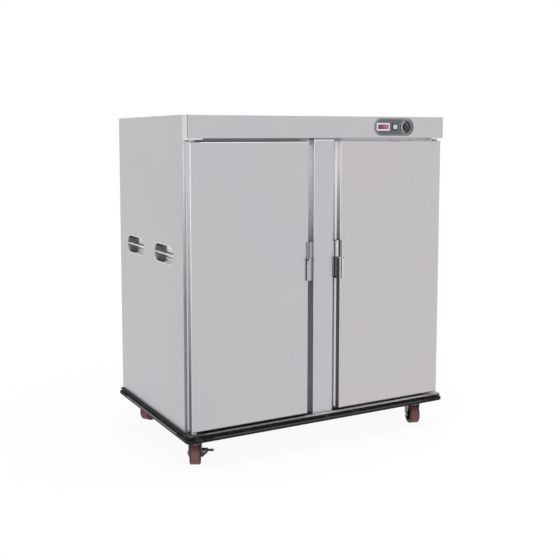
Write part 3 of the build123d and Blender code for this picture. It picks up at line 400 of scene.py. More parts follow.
# Bright plated castings with painted reflections: upright bands of light and dark, as rounded plating
# mirrors a room, with fine wear.
def plating_with_painted_bands(name, bands, left, right, gap, gap_top):
    material, tree, place, _ = start_material(name)
    wear_grain, waver, gap_edge, gap_share = 7 * MM, 2 * MM, 2 * MM, 0.7
    parts = add_node(tree, "ShaderNodeSeparateXYZ", links={"Vector": place})
    wear = add_node(tree, "ShaderNodeTexNoise", {"Scale": 1 / wear_grain, "Detail": 4.0}, {"Vector": place})
    settings = {"operation": "MULTIPLY_ADD", 1: waver, 2: -waver / 2}
    drift = add_node(tree, "ShaderNodeMath", settings, {0: wear})
    wavy = add_node(tree, "ShaderNodeMath", {"operation": "ADD"}, {0: parts.outputs["X"], 1: drift})
    share = add_node(tree, "ShaderNodeMapRange", {"From Min": left, "From Max": right}, {"Value": wavy})
    ramp = add_node(tree, "ShaderNodeValToRGB", links={0: share})
    stops = ramp.color_ramp.elements
    given = len(stops)
    for index, (spot, colour) in enumerate(bands):
        stop = stops[index] if index < given else stops.new(spot)
        stop.position = spot
        stop.color = shaded(colour)
    # Painted shade: below the lever's shoulder the flank is drawn in the dark tone of the gap beside it.
    low, high = gap_top - gap_edge, gap_top + gap_edge
    limits = {"From Min": low, "From Max": high, "To Min": gap_share, "To Max": 0.0}
    shade = add_node(tree, "ShaderNodeMapRange", limits, {"Value": parts.outputs["Z"]})
    body = lay_tones(tree, ramp, [(shade, gap)])
    links = {"Base Color": body, "Roughness": roughened(tree, wear, 0.18, 0.32)}
    return close_material(material, {"Metallic": 1.0}, links)


# Rail with painted light and shade: a painted highlight along the front edge, metallic there and duller to
# the left, and painted shade on the rest and on the front lip.
def rail_with_painted_edge_light(name, lit_edge, coat, lip, low, high):
    material, tree, place, _ = start_material(name)
    spot, spot_shading, left_shading, right_shading = 60 * MM, 0.6, 0.55, -0.35
    metal_share = 0.35
    bright = inside(tree, place, low, high)
    parts = add_node(tree, "ShaderNodeSeparateXYZ", links={"Vector": place})
    limits = {"From Min": low[0], "From Max": high[0], "To Min": left_shading, "To Max": right_shading}
    along = add_node(tree, "ShaderNodeMapRange", limits, {"Value": parts.outputs["X"]})
    spots = add_node(tree, "ShaderNodeTexNoise", {"Scale": 1 / spot, "Detail": 3.0}, {"Vector": place})
    settings = {"operation": "MULTIPLY_ADD", "use_clamp": True, 1: spot_shading}
    edge_shading = add_node(tree, "ShaderNodeMath", settings, {0: spots, 2: along})
    settings = {"data_type": "RGBA", FIRST: shaded(lit_edge, 1.2), SECOND: shaded(lit_edge, 0.3)}
    steel = add_node(tree, "ShaderNodeMix", settings, {SHARE: edge_shading})
    settings = {"data_type": "RGBA", FIRST: shaded(coat)}
    edged = add_node(tree, "ShaderNodeMix", settings, {SHARE: bright, SECOND: steel})
    front = (OPEN, (None, low[1], None), lip)
    body = lay_tones(tree, edged, in_boxes(tree, place, [front]))
    metal = add_node(tree, "ShaderNodeMath", {"operation": "MULTIPLY", 1: metal_share}, {0: bright})
    settings = {"Roughness": 0.55, "Specular IOR Level": 0.1}
    return close_material(material, settings, {"Base Color": body, "Metallic": metal})


# Pressed and polished stainless cups with painted reflections: bright where they would throw back the open
# room, and painted dark where they would mirror their own far end.
def cups_with_painted_reflections(name, dark, tones):
    material, tree, place, _ = start_material(name)
    ripple = 22 * MM
    ripples = add_node(tree, "ShaderNodeTexNoise", {"Scale": 1 / ripple, "Detail": 2.0}, {"Vector": place})
    settings = {"data_type": "RGBA", FIRST: shaded(dark, 0.75), SECOND: shaded(dark, 1.3)}
    uneven = add_node(tree, "ShaderNodeMix", settings, {SHARE: ripples})
    body = lay_tones(tree, uneven, in_boxes(tree, place, tones))
    bump = add_node(tree, "ShaderNodeBump", {"Strength": 0.1, "Distance": 0.05 * MM}, {"Height": ripples})
    settings = {"Metallic": 0.4, "Roughness": 0.28}
    return close_material(material, settings, {"Base Color": body, "Normal": bump})


def dress(material, *nodes):
    """Give CAD nodes a material in all their slots."""
    for name in nodes:
        data = frame["nodes"][name].data
        if not data.materials:
            data.materials.append(material)
        for index in range(len(data.materials)):
            data.materials[index] = material


class CART_OT_sheet_metal(bpy.types.Operator):
    """Finish the outer sheets, the liners and the bright trim"""

    bl_idname = "cart.sheet_metal"
    bl_label = "Sheet Metal"

    def execute(self, context):
        tint = colours()
        self.finish_sheets(tint)
        self.finish_frame(tint)
        self.finish_ledge(tint)
        # Mill-finished stainless: even grey with soft reflections, as it comes off the rolls.
        mill = grained("mill_stainless", tint.mill, 3 * MM, 0.03, (0.33, 0.42), 0.02 * MM, 1.0)
        dress(mill, "cavity_liners", "tray_slides", "heater_covers", "left_door_panel", "right_door_panel")
        # Polished stainless: clear, bright reflections.
        bright = grained("polished_stainless", tint.bright, 25 * MM, 0.04, (0.12, 0.20), 0.01 * MM, 1.0)
        dress(bright, "grip_bars", "latch_strikes")
        # Tumbled stainless: pale and soft. The plates under the doors get painted shade, the left one darker
        # than the right.
        knee = 500 * MM
        under_doors = (
            (OPEN, (0, None, knee), tint.left_hinge),
            ((0, None, None), (None, None, knee), tint.right_hinge),
        )
        hinge = grained(
            "tumbled_stainless", tint.hinge, 4 * MM, 0.04, (0.40, 0.50), 0.02 * MM, 0.4, shades=under_doors
        )
        dress(hinge, "hinge_plates")
        self.finish_cups(tint)
        return {"FINISHED"}

    def finish_sheets(self, tint):
        """The panels, doors, post and fascia, whose folded sides get painted light and shade apart from their
        faces.
        """
        along_x, along_z = 0, 2
        left, right = -1, 1
        fascia_low, fascia_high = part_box("fascia")
        # For each kind of flank, its painted tones low down and high up and the heights between which they
        # change.
        outer = (tint.flank_foot, tint.flank_head, 350 * MM, 1250 * MM)
        inner = (tint.channel_foot, tint.channel_head, 950 * MM, 1450 * MM)
        post_side = (tint.post_foot, tint.channel_head, 850 * MM, 1300 * MM)
        end = (tint.fascia_flank, tint.fascia_flank, fascia_low[2], fascia_high[2])
        # Painted highlight along the folded top of the post, in the hinge plates' colour, with a painted
        # shadow between it and the fascia.
        post_top, line = fascia_low[2] - 6.5 * MM, 4.5 * MM
        lines = (
            ((None, None, post_top), OPEN, tint.cup),
            ((None, None, post_top - line), (None, None, post_top), tint.hinge),
        )
        # Painted shade: a dark line down the folds at the ends of the fascia.
        fold = 2.2 * MM
        folds = (
            (OPEN, (fascia_low[0] + fold, fascia_low[1] + fold, None), tint.tarnish),
            ((fascia_high[0] - fold, None, None), (None, fascia_low[1] + fold, None), tint.tarnish),
        )
        left_door = ((left, *outer), (right, *inner))
        right_door = ((left, *inner), (right, *outer))
        post = ((left, *post_side), (right, *post_side))
        fascia = ((left, *end), (right, *end))
        panels = ("rear_panel", "left_side_panel", "right_side_panel")
        sheets = (
            ("upright", tint.side_satin, along_z, (), (), panels),
            ("left_door", tint.satin, along_z, left_door, (), ("left_door_skin",)),
            ("right_door", tint.warm_satin, along_z, right_door, (), ("right_door_skin",)),
            ("post", tint.post_satin, along_z, post, lines, ("centre_post",)),
            ("fascia", tint.satin, along_x, fascia, folds, ("fascia",)),
            ("level", tint.satin, along_x, (), (), ("roof_panel", "floor_pan")),
        )
        for name, colour, along, flanks, shades, nodes in sheets:
            dress(satin_stainless(f"satin_stainless_{name}", colour, along, flanks, shades), *nodes)

    def finish_frame(self, tint):
        """Blasted stainless: near-white as painted light, with painted shade low down and under the fascia.
        """
        # Painted shadow under the fascia, over the left door and beside the post.
        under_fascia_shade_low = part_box("fascia")[0][2] - 30 * MM
        small_low = under_fascia_shade_low + 16 * MM
        tarnish = (
            ((-660 * MM, None, under_fascia_shade_low), (-60 * MM, None, None), tint.frame_tarnish),
            ((60 * MM, None, small_low), (125 * MM, None, None), tint.frame_tarnish),
        )
        foot = (tint.frame_foot, 750 * MM, 1350 * MM)
        blasted = grained(
            "blasted_stainless", tint.frame_satin, 2 * MM, 0.03, (0.5, 0.6), 0.03 * MM, 0.3,
            foot=foot, shades=tarnish
        )
        dress(blasted, "front_frame")

    def finish_ledge(self, tint):
        """The rail over the bumper, with a painted highlight along the foot of the doors."""
        door_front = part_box("left_door_skin")[0][1]
        cabinet_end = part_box("right_side_panel")[1][0]
        low = (-cabinet_end, door_front - 5 * MM, None)
        high = (cabinet_end, door_front + 19 * MM, None)
        ledge = rail_with_painted_edge_light("steel_with_painted_edge_light", tint.ledge, tint.ledge_coat, tint.ledge_lip, low, high)
        dress(ledge, "bumper_rail")

    def finish_cups(self, tint):
        """The cups of the grips: a painted reflection bright in each front part, with the bar's lines painted
        dark there.
        """
        low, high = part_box("grip_cups")
        flange, spacing, mouth, lit, sheet = 7 * MM, 367 * MM, 228 * MM, 165 * MM, 1.2 * MM
        lower_lit, lower_wall, lower_corner = 124 * MM, low[2] + 16 * MM, low[2] + 13 * MM
        upper_corner = high[2] - 22 * MM
        lines = ((low[2] + 23 * MM, 5 * MM), (low[2] + 43 * MM, 7 * MM))
        tones = []
        for front in (low[1] + flange, low[1] + flange + spacing):
            lower, back, end = front + lower_lit, front + lit, front + mouth
            tones.append(((None, front, None), (None, back, None), tint.mirror))
            tones.append(((None, lower, None), (None, back, lower_wall), tint.cup))
            tones.append(((None, back, upper_corner), (None, end, None), tint.cup_shade))
            tones.append(((None, lower, None), (None, end, lower_corner), tint.cup_shade))
            for line, width in lines:
                tones.append(((None, front, line), (None, back, line + width), tint.cup_line))
        tones.append((OPEN, (low[0] + sheet, None, None), tint.satin))
        tones.append(((high[0] - sheet, None, None), OPEN, tint.satin))
        dress(cups_with_painted_reflections("pressed_stainless", tint.cup, tones), "grip_cups")


class CART_OT_small_finishes(bpy.types.Operator):
    """Finish the latches, controls, seals, bumper, base and heaters"""

    bl_idname = "cart.small_finishes"
    bl_label = "Small Finishes"

    def execute(self, context):
        tint = colours()
        self.finish_latches(tint)
        # Powder coat: satin black with a fine peel, scuffed grey where it is knocked.
        coat = grained("powder_coat", tint.coat, 1.2 * MM, 0.12, (0.42, 0.55), 0.08 * MM, rubbed=tint.scuff)
        dress(coat, "base_frame")
        self.finish_bumper(tint)
        # Silicone seals: the right one glows as painted light down in its channel; the left one is a darker
        # copy without glow, as painted shade.
        for side, colour, glow in (("left", tint.grey_seal, 0.0), ("right", tint.seal, 0.55)):
            seal = grained(
                f"pale_seal_{side}", colour, 4 * MM, 0.03, (0.45, 0.58), 0.03 * MM, glow=glow, dark_back=True
            )
            dress(seal, f"{side}_door_gasket")
        # Rigid foam: dull yellow, with the open cells of its cut faces.
        foam = grained("rigid_foam", tint.foam, 2.2 * MM, 0.10, (0.80, 0.95), 0.4 * MM)
        dress(foam, "insulation_boards", "left_door_foam", "right_door_foam")
        self.finish_controls(tint)
        # Nylon: waxy and even, black in the gland and of its own pale colour in the washers.
        gland = grained("black_nylon", tint.core, 1.4 * MM, 0.10, (0.45, 0.60), 0.03 * MM)
        dress(gland, "cord_gland")
        washers = grained("natural_nylon", tint.nylon, 1.4 * MM, 0.05, (0.45, 0.60), 0.02 * MM)
        dress(washers, "hinge_washers")
        # Heated stainless: brown and straw-coloured blotches.
        sheath = grained("heat_tinted_sheath", tint.sheath, 18 * MM, 0.22, (0.30, 0.45), 0.02 * MM, 1.0)
        dress(sheath, "heater_elements")
        return {"FINISHED"}

    def finish_latches(self, tint):
        """The plated cases and levers, with painted reflections in bands from left to right."""
        tones = {"d": tint.latch_dark, "g": tint.latch_grey, "l": tint.latch_light}
        # For each piece, its tones in order and where each has its peak, as a share of the width.
        rows = {
            "left_latch_case": ("ggdlgdl", (0, 0.38, 0.46, 0.55, 0.70, 0.84, 0.95)),
            "left_latch_lever": ("lglggdl", (0, 0.10, 0.26, 0.40, 0.58, 0.76, 0.92)),
            "right_latch_case": ("llddggl", (0, 0.20, 0.32, 0.46, 0.58, 0.78, 0.90)),
            "right_latch_lever": ("ddllddl", (0, 0.22, 0.38, 0.44, 0.52, 0.58, 0.70)),
        }
        for side in SIDES:
            for piece in ("latch_case", "latch_lever"):
                letters, spots = rows[f"{side}_{piece}"]
                bands = [(spot, tones[letter]) for spot, letter in zip(spots, letters)]
                low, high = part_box(f"{side}_{piece}")
                gap_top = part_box(f"{side}_latch_lever")[1][2] if piece == "latch_case" else low[2]
                name, gap = f"plated_{side}_{piece}", tint.latch_gap
                dress(plating_with_painted_bands(name, bands, low[0], high[0], gap, gap_top), f"{side}_{piece}")

    def finish_bumper(self, tint):
        """Extruded rubber: matt black with grey scuffs, and a painted sheen along its nose, left off at the
        corners.
        """
        low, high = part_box("rubber_bumper")
        skin, corner = 12 * MM, 130 * MM
        nose, nose_top = 144.5 * MM, 150 * MM
        sides = (low[1] + corner, high[1] - corner)
        ends = (low[0] + corner, high[0] - corner)
        sheen_lines = (
            ((ends[0], None, nose), (ends[1], low[1] + skin, nose_top), tint.front_rub),
            ((ends[0], high[1] - skin, nose), (ends[1], None, nose_top), tint.front_rub),
            ((None, sides[0], nose), (low[0] + skin, sides[1], nose_top), tint.side_rub),
            ((high[0] - skin, sides[0], nose), (None, sides[1], nose_top), tint.side_rub),
        )
        rubber = grained(
            "extruded_rubber", tint.rubber, 2.5 * MM, 0.10, (0.42, 0.55), 0.03 * MM,
            specular=0.2, rubbed=tint.scuff, shades=sheen_lines
        )
        dress(rubber, "rubber_bumper")

    def finish_controls(self, tint):
        """The panel of moulded plastic, with its display, switch and knob."""
        # Moulded ABS: a fine even grain with a soft gloss, and painted light that makes the bezel's sloped
        # rim paler.
        bezel = grained(
            "bezel_abs", tint.bezel, 0.9 * MM, 0.06, (0.34, 0.46), 0.03 * MM,
            specular=0.3, slope_light=tint.bezel_slope
        )
        dress(bezel, "control_bezel")
        housing = grained("white_abs", tint.white_plastic, 1.5 * MM, 0.02, (0.25, 0.35), 0.01 * MM)
        dress(housing, "display_housing")
        black = grained("black_abs", tint.black_plastic, 0.9 * MM, 0.10, (0.24, 0.36), 0.02 * MM)
        dress(black, "switch_housing", "thermostat_body", "thermostat_knob")
        low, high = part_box("display_window")
        dress(lit_acrylic("red_acrylic", tint.window, tint.window_lit, low[0], high[0]), "display_window")
        # Translucent cap: smooth, with a faint light from the lamp behind it.
        cap = grained("lit_rocker", tint.rocker, 6 * MM, 0.04, (0.20, 0.30), 0.01 * MM, glow=0.06)
        dress(cap, "rocker_cap")


class CART_OT_caster_finishes(bpy.types.Operator):
    """Finish the forks, axles, wheels and pedals"""

    bl_idname = "cart.caster_finishes"
    bl_label = "Casters"

    def execute(self, context):
        tint = colours()
        # Zinc plate: bright with soft blotches on the axles, dark and spotted on the forks.
        zinc = grained("zinc_plate", tint.zinc, 5 * MM, 0.10, (0.22, 0.34), 0.03 * MM, 1.0)
        dark_zinc = grained(
            "dark_zinc_plate", tint.dark_zinc, 6 * MM, 0.16, (0.22, 0.38), 0.03 * MM, 1.0,
            rubbed=tint.zinc, mark=10 * MM
        )
        # Moulded core and coated pedals: plain black, one smoother than the other.
        core = grained("moulded_core", tint.core, 1.6 * MM, 0.10, (0.40, 0.55), 0.04 * MM, specular=0.35)
        coat = grained("pedal_coat", tint.coat, 1.2 * MM, 0.12, (0.38, 0.50), 0.06 * MM)
        half_tread = 25 * MM
        dress(dark_zinc, "caster_swivel_plates")
        for corner in CORNERS:
            dress(dark_zinc, f"{corner}_fork")
            dress(zinc, f"{corner}_axle")
            dress(core, f"{corner}_wheel_core")
            # Cast polyurethane: satin red-brown with a fine grain, and painted shade on the shoulders.
            roll = JOINTS[f"{corner}_roll"]
            shoulders = (tint.tread_dirt, roll["pos_m"], roll["axis"], half_tread)
            tread = grained(
                f"cast_polyurethane_{corner}", tint.tread, 3 * MM, 0.10, (0.38, 0.52), 0.06 * MM,
                specular=0.4, shoulders=shoulders
            )
            dress(tread, f"{corner}_tyre")
        for corner in BRAKED:
            dress(coat, f"{corner}_brake_pedal")
        return {"FINISHED"}


def start_piece(name, add, **settings):
    """Add a primitive with nothing else selected, and put its place into its mesh."""
    bpy.ops.object.select_all(action="DESELECT")
    add(**settings)
    piece = bpy.context.object
    piece.name = piece.data.name = name
    bpy.ops.object.transform_apply(location=True, rotation=True, scale=True)
    return piece


def start_bar(name, sides, radius, height, foot=0):
    """Start a round or many-sided piece that stands on the origin, or at a height above it."""
    add, middle = bpy.ops.mesh.primitive_cylinder_add, (0, 0, foot + height / 2)
    return start_piece(name, add, vertices=sides, radius=radius, depth=height, location=middle)


def pick(piece, kind, wanted):
    """In edit mode, select only the faces (FACE) or points (VERT) that pass a test."""
    bpy.ops.mesh.select_mode(type=kind)
    bpy.ops.mesh.select_all(action="DESELECT")
    shape = bmesh.from_edit_mesh(piece.data)
    for part in shape.faces if kind == "FACE" else shape.verts:
        part.select_set(wanted(part))
    if kind == "VERT":
        shape.select_flush(True)
    bmesh.update_edit_mesh(piece.data)


def looks_up(face):
    """Whether a face looks up."""
    return face.normal.z > 0.9


def soften(piece, width):
    """Round the sharp edges of a piece by a given width."""
    bpy.ops.object.select_all(action="DESELECT")
    bpy.context.view_layer.objects.active = piece
    piece.select_set(True)
    rounding = piece.modifiers.new("rounding", "BEVEL")
    rounding.width = width
    rounding.segments = 2
    bpy.ops.object.modifier_apply(modifier=rounding.name)
    bpy.ops.object.shade_smooth_by_angle(angle=radians(35))


def merge(name, pieces):
    """Join pieces into one object."""
    bpy.ops.object.select_all(action="DESELECT")
    for piece in pieces:
        piece.select_set(True)
    bpy.context.view_layer.objects.active = pieces[0]
    bpy.ops.object.join()
    pieces[0].name = pieces[0].data.name = name
    return pieces[0]


def copies(master, name, places):
    """Set copies of a piece at the given places, each with its own mesh, and join them; the master goes."""
    made = []
    for place in places:
        copy = master.copy()
        copy.data = master.data.copy()
        copy.data.transform(place)
        bpy.context.collection.objects.link(copy)
        made.append(copy)
    bpy.data.objects.remove(master)
    return merge(name, made)


def facing(direction, spot):
    """The place of a fitting that stands on a spot and points in a direction."""
    turn = Vector((0, 0, 1)).rotation_difference(Vector(direction)).to_matrix().to_4x4()
    return Matrix.Translation(spot) @ turn


def fit(piece, body, material):
    """Let a piece ride on a body with its finish."""
    piece.data.materials.clear()
    piece.data.materials.append(material)
    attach(piece, body)


def domed_head(name, radius, height):
    """A low screw or rivet head with a dimple, standing on the origin."""
    slope, rim, rise, dimple, squat = radius * 0.30, radius * 0.28, height * 0.25, height * 0.45, 0.8
    piece = start_bar(name, 16, radius, height)
    bpy.ops.object.mode_set(mode="EDIT")
    pick(piece, "FACE", looks_up)
    bpy.ops.mesh.inset(thickness=slope, depth=rise)
    bpy.ops.mesh.inset(thickness=rim, depth=0)
    bpy.ops.mesh.extrude_region_move(TRANSFORM_OT_translate={"value": (0, 0, -dimple)})
    bpy.ops.mesh.select_all(action="SELECT")
    bpy.ops.transform.resize(value=(1, 1, squat), center_override=(0, 0, 0))
    bpy.ops.object.mode_set(mode="OBJECT")
    bpy.ops.object.shade_smooth_by_angle(angle=radians(50))
    return piece


class CART_OT_caster_bolts(bpy.types.Operator):
    """Bolt each caster plate to the base with four hexagon bolts on washers"""

    bl_idname = "cart.caster_bolts"
    bl_label = "Caster Bolts"

    def execute(self, context):
        sizes = context.scene.cart_sizes
        flats, height = sizes.bolt_flats, sizes.bolt_height
        washer_thick, washer_share = 1.4 * MM, 0.85
        washer = start_bar("washer", 24, flats * washer_share, washer_thick)
        soften(washer, 0.3 * MM)
        chamfer, chamfer_rise = flats * 0.08, height * 0.12
        head = start_bar("head", 6, flats / 2 / cos(pi / 6), height, washer_thick)
        bpy.ops.object.mode_set(mode="EDIT")
        pick(head, "FACE", looks_up)
        bpy.ops.mesh.inset(thickness=chamfer, depth=chamfer_rise)
        bpy.ops.object.mode_set(mode="OBJECT")
        soften(head, 0.25 * MM)
        bolt = merge("caster_bolt", [head, washer])
        plate_thick, half_across, half_along = 6 * MM, 33 * MM, 43 * MM
        plate_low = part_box("base_frame")[0][2] - plate_thick
        places = []
        for corner in CORNERS:
            x, y, _ = JOINTS[f"{corner}_swivel"]["pos_m"]
            for across in (-half_across, half_across):
                for along in (-half_along, half_along):
                    places.append(facing((0, 0, -1), (x + across, y + along, plate_low)))
        # Zinc plate: bright with soft blotches.
        zinc = grained("zinc_bolt", colours().zinc, 4 * MM, 0.10, (0.22, 0.34), 0.02 * MM, 1.0)
        fit(copies(bolt, "caster_bolts", places), "cabinet", zinc)
        return {"FINISHED"}


class CART_OT_screws(bpy.types.Operator):
    """Screw down the rear panel and the heater covers, and rivet the tray slides"""

    bl_idname = "cart.screws"
    bl_label = "Screws and Rivets"

    def execute(self, context):
        sizes = context.scene.cart_sizes
        # Stainless heads: bright, and a little blurred by handling.
        steel = grained("stainless_screw", colours().bright, 3 * MM, 0.06, (0.20, 0.32), 0.01 * MM, 1.0)
        low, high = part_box("rear_panel")
        inset, columns, rows = 18 * MM, 7, 7
        spots = []
        for column in range(columns):
            x = low[0] + inset + column * (high[0] - low[0] - 2 * inset) / (columns - 1)
            spots += [(x, low[2] + inset), (x, high[2] - inset)]
        for row in range(1, rows - 1):
            z = low[2] + inset + row * (high[2] - low[2] - 2 * inset) / (rows - 1)
            spots += [(low[0] + inset, z), (high[0] - inset, z)]
        rear = [facing((0, 1, 0), (x, high[1], z)) for x, z in spots]
        screw = domed_head("screw", sizes.screw_radius, sizes.screw_height)
        fit(copies(screw, "rear_panel_screws", rear), "cabinet", steel)

        low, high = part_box("heater_covers")
        cover_width, corner = 501 * MM, 16 * MM
        covers = []
        for y in (low[1] + corner, high[1] - corner):
            for x in (high[0] - corner, high[0] - cover_width + corner):
                covers += [facing((0, 0, 1), (x, y, high[2])), facing((0, 0, 1), (-x, y, high[2]))]
        screw = domed_head("screw", sizes.screw_radius, sizes.screw_height)
        fit(copies(screw, "heater_cover_screws", covers), "cabinet", steel)

        low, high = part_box("tray_slides")
        inner_wall, sheet, pitch, levels = 110.5 * MM, 1.5 * MM, 105 * MM, 11
        rivet_height, rivet_inset = 15 * MM, 40 * MM
        rivets = []
        for level in range(levels):
            z = low[2] + level * pitch + rivet_height
            for y in (low[1] + rivet_inset, (low[1] + high[1]) / 2, high[1] - rivet_inset):
                for x, inward in ((inner_wall + sheet, 1), (high[0] - sheet, -1)):
                    rivets += [facing((inward, 0, 0), (x, y, z)), facing((-inward, 0, 0), (-x, y, z))]
        rivet = domed_head("rivet", sizes.rivet_radius, sizes.rivet_height)
        fit(copies(rivet, "slide_rivets", rivets), "cabinet", steel)
        return {"FINISHED"}


class CART_OT_display_digits(bpy.types.Operator):
    """Light two digits of seven segments in the display window"""

    bl_idname = "cart.display_digits"
    bl_label = "Display Digits"

    lit = {"7": "abc", "5": "acdfg"}

    def execute(self, context):
        sizes = context.scene.cart_sizes
        low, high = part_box("display_window")
        half, thick = sizes.digit_height / 2, sizes.print_thick
        stroke = sizes.digit_height * 0.13
        length = half - stroke * 0.4
        wide = length * 0.5
        first_shift = 0.35
        bar = start_bar("segment", 6, stroke / 2 / cos(pi / 6), thick)
        bpy.ops.object.mode_set(mode="EDIT")
        for sign in (-1, 1):
            pick(bar, "VERT", lambda point: point.co.y * sign > stroke * 0.1)
            bpy.ops.transform.translate(value=(0, sign * (length - stroke) / 2, 0))
        bpy.ops.object.mode_set(mode="OBJECT")
        soften(bar, thick * 0.3)
        # Where each segment lies from the middle of its digit, and whether it is level.
        segments = {
            "a": (0, half, True),
            "b": (wide, half / 2, False),
            "c": (wide, -half / 2, False),
            "d": (0, -half, True),
            "e": (-wide, -half / 2, False),
            "f": (-wide, half / 2, False),
            "g": (0, 0, True),
        }
        centre = Vector(((low[0] + high[0]) / 2, low[1], (low[2] + high[2]) / 2))
        upright = Matrix.Rotation(pi / 2, 4, "X")
        places = []
        for index, figure in enumerate("75"):
            shift = sizes.digit_pitch * (first_shift + index)
            for letter in self.lit[figure]:
                x, z, level = segments[letter]
                spot = Matrix.Translation(centre + Vector((x + shift, 0, z)))
                turn = Matrix.Rotation(pi / 2, 4, "Y") if level else Matrix.Identity(4)
                places.append(spot @ turn @ upright)
        # Lit segments: pale pink through the red filter, with a faint glow.
        glow = grained("lit_segment", colours().digits, 2 * MM, 0.04, (0.30, 0.40), 0.005 * MM, glow=0.2)
        fit(copies(bar, "display_digits", places), "cabinet", glow)
        return {"FINISHED"}


class CART_OT_dial_marks(bpy.types.Operator):
    """Set a trim ring round the knob, a printed wedge on its skirt and a pointer on its face"""

    bl_idname = "cart.dial_marks"
    bl_label = "Dial Marks"

    def execute(self, context):
        sizes = context.scene.cart_sizes
        low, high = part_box("thermostat_knob")
        x, z = (low[0] + high[0]) / 2, (low[2] + high[2]) / 2
        bezel_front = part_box("control_bezel")[0][1]
        # Printed white: matt and even. Satin chrome: bright, with soft reflections.
        white = grained("printed_white", colours().white_plastic, 2 * MM, 0.03, (0.35, 0.45), 0.005 * MM)
        chrome = grained("satin_chrome", colours().bright, 8 * MM, 0.05, (0.18, 0.28), 0.005 * MM, 1.0)

        ring_thick, ring_rounding = 0.7 * MM, 0.2 * MM
        ring_inner = sizes.ring_radius - sizes.ring_width / 2
        ring = self.band("dial_ring", ring_inner, sizes.ring_width, 0, ring_thick)
        soften(ring, ring_rounding)
        ring.data.transform(facing((0, -1, 0), (x, bezel_front, z)))
        fit(ring, "cabinet", chrome)

        skirt_thick, skirt_gap = 3 * MM, 0.3 * MM
        wedge_inner, wedge_width, wedge_shift, cut = 24.8 * MM, 3.4 * MM, 1.6 * MM, (-4 * MM, 0, 0)
        wedge = self.band("dial_wedge", wedge_inner, wedge_width, wedge_shift, sizes.print_thick)
        bpy.ops.object.mode_set(mode="EDIT")
        bpy.ops.mesh.select_all(action="SELECT")
        bpy.ops.mesh.bisect(plane_co=cut, plane_no=(1, 0, 0), clear_outer=True, use_fill=True)
        bpy.ops.object.mode_set(mode="OBJECT")
        wedge.data.transform(facing((0, -1, 0), (x, bezel_front - skirt_gap - skirt_thick, z)))
        fit(wedge, "thermostat_dial", white)

        mark_size, tip_share, mark_rounding, mark_out = (1.8 * MM, 10 * MM, 0.4 * MM), 0.4, 0.12 * MM, 11 * MM
        pointer = start_piece("dial_pointer", bpy.ops.mesh.primitive_cube_add, size=1, scale=mark_size)
        bpy.ops.object.mode_set(mode="EDIT")
        pick(pointer, "FACE", lambda face: face.normal.y > 0.9)
        bpy.ops.transform.resize(value=(tip_share, 1, 1), center_override=(0, 0, 0))
        bpy.ops.object.mode_set(mode="OBJECT")
        soften(pointer, mark_rounding)
        pointer.data.transform(facing((0, -1, 0), (x, low[1], z)) @ Matrix.Translation((0, mark_out, 0)))
        fit(pointer, "thermostat_dial", white)
        return {"FINISHED"}

    def band(self, name, inner, width, shift, thick):
        """A flat ring on the origin, whose hole may sit off its middle."""
        add = bpy.ops.mesh.primitive_circle_add
        piece = start_piece(name, add, vertices=64, radius=inner, fill_type="NOTHING")
        bpy.ops.object.mode_set(mode="EDIT")
        bpy.ops.mesh.select_all(action="SELECT")
        share = (inner + width) / inner
        bpy.ops.mesh.extrude_region_move()
        bpy.ops.transform.resize(value=(share, share, 1), center_override=(0, 0, 0))
        pick(piece, "VERT", lambda point: point.co.xy.length < inner + width / 2)
        bpy.ops.transform.translate(value=(shift, 0, 0))
        bpy.ops.mesh.select_all(action="SELECT")
        bpy.ops.mesh.extrude_region_move(TRANSFORM_OT_translate={"value": (0, 0, thick)})
        bpy.ops.mesh.select_all(action="SELECT")
        bpy.ops.mesh.normals_make_consistent(inside=False)
        bpy.ops.object.mode_set(mode="OBJECT")
        return piece


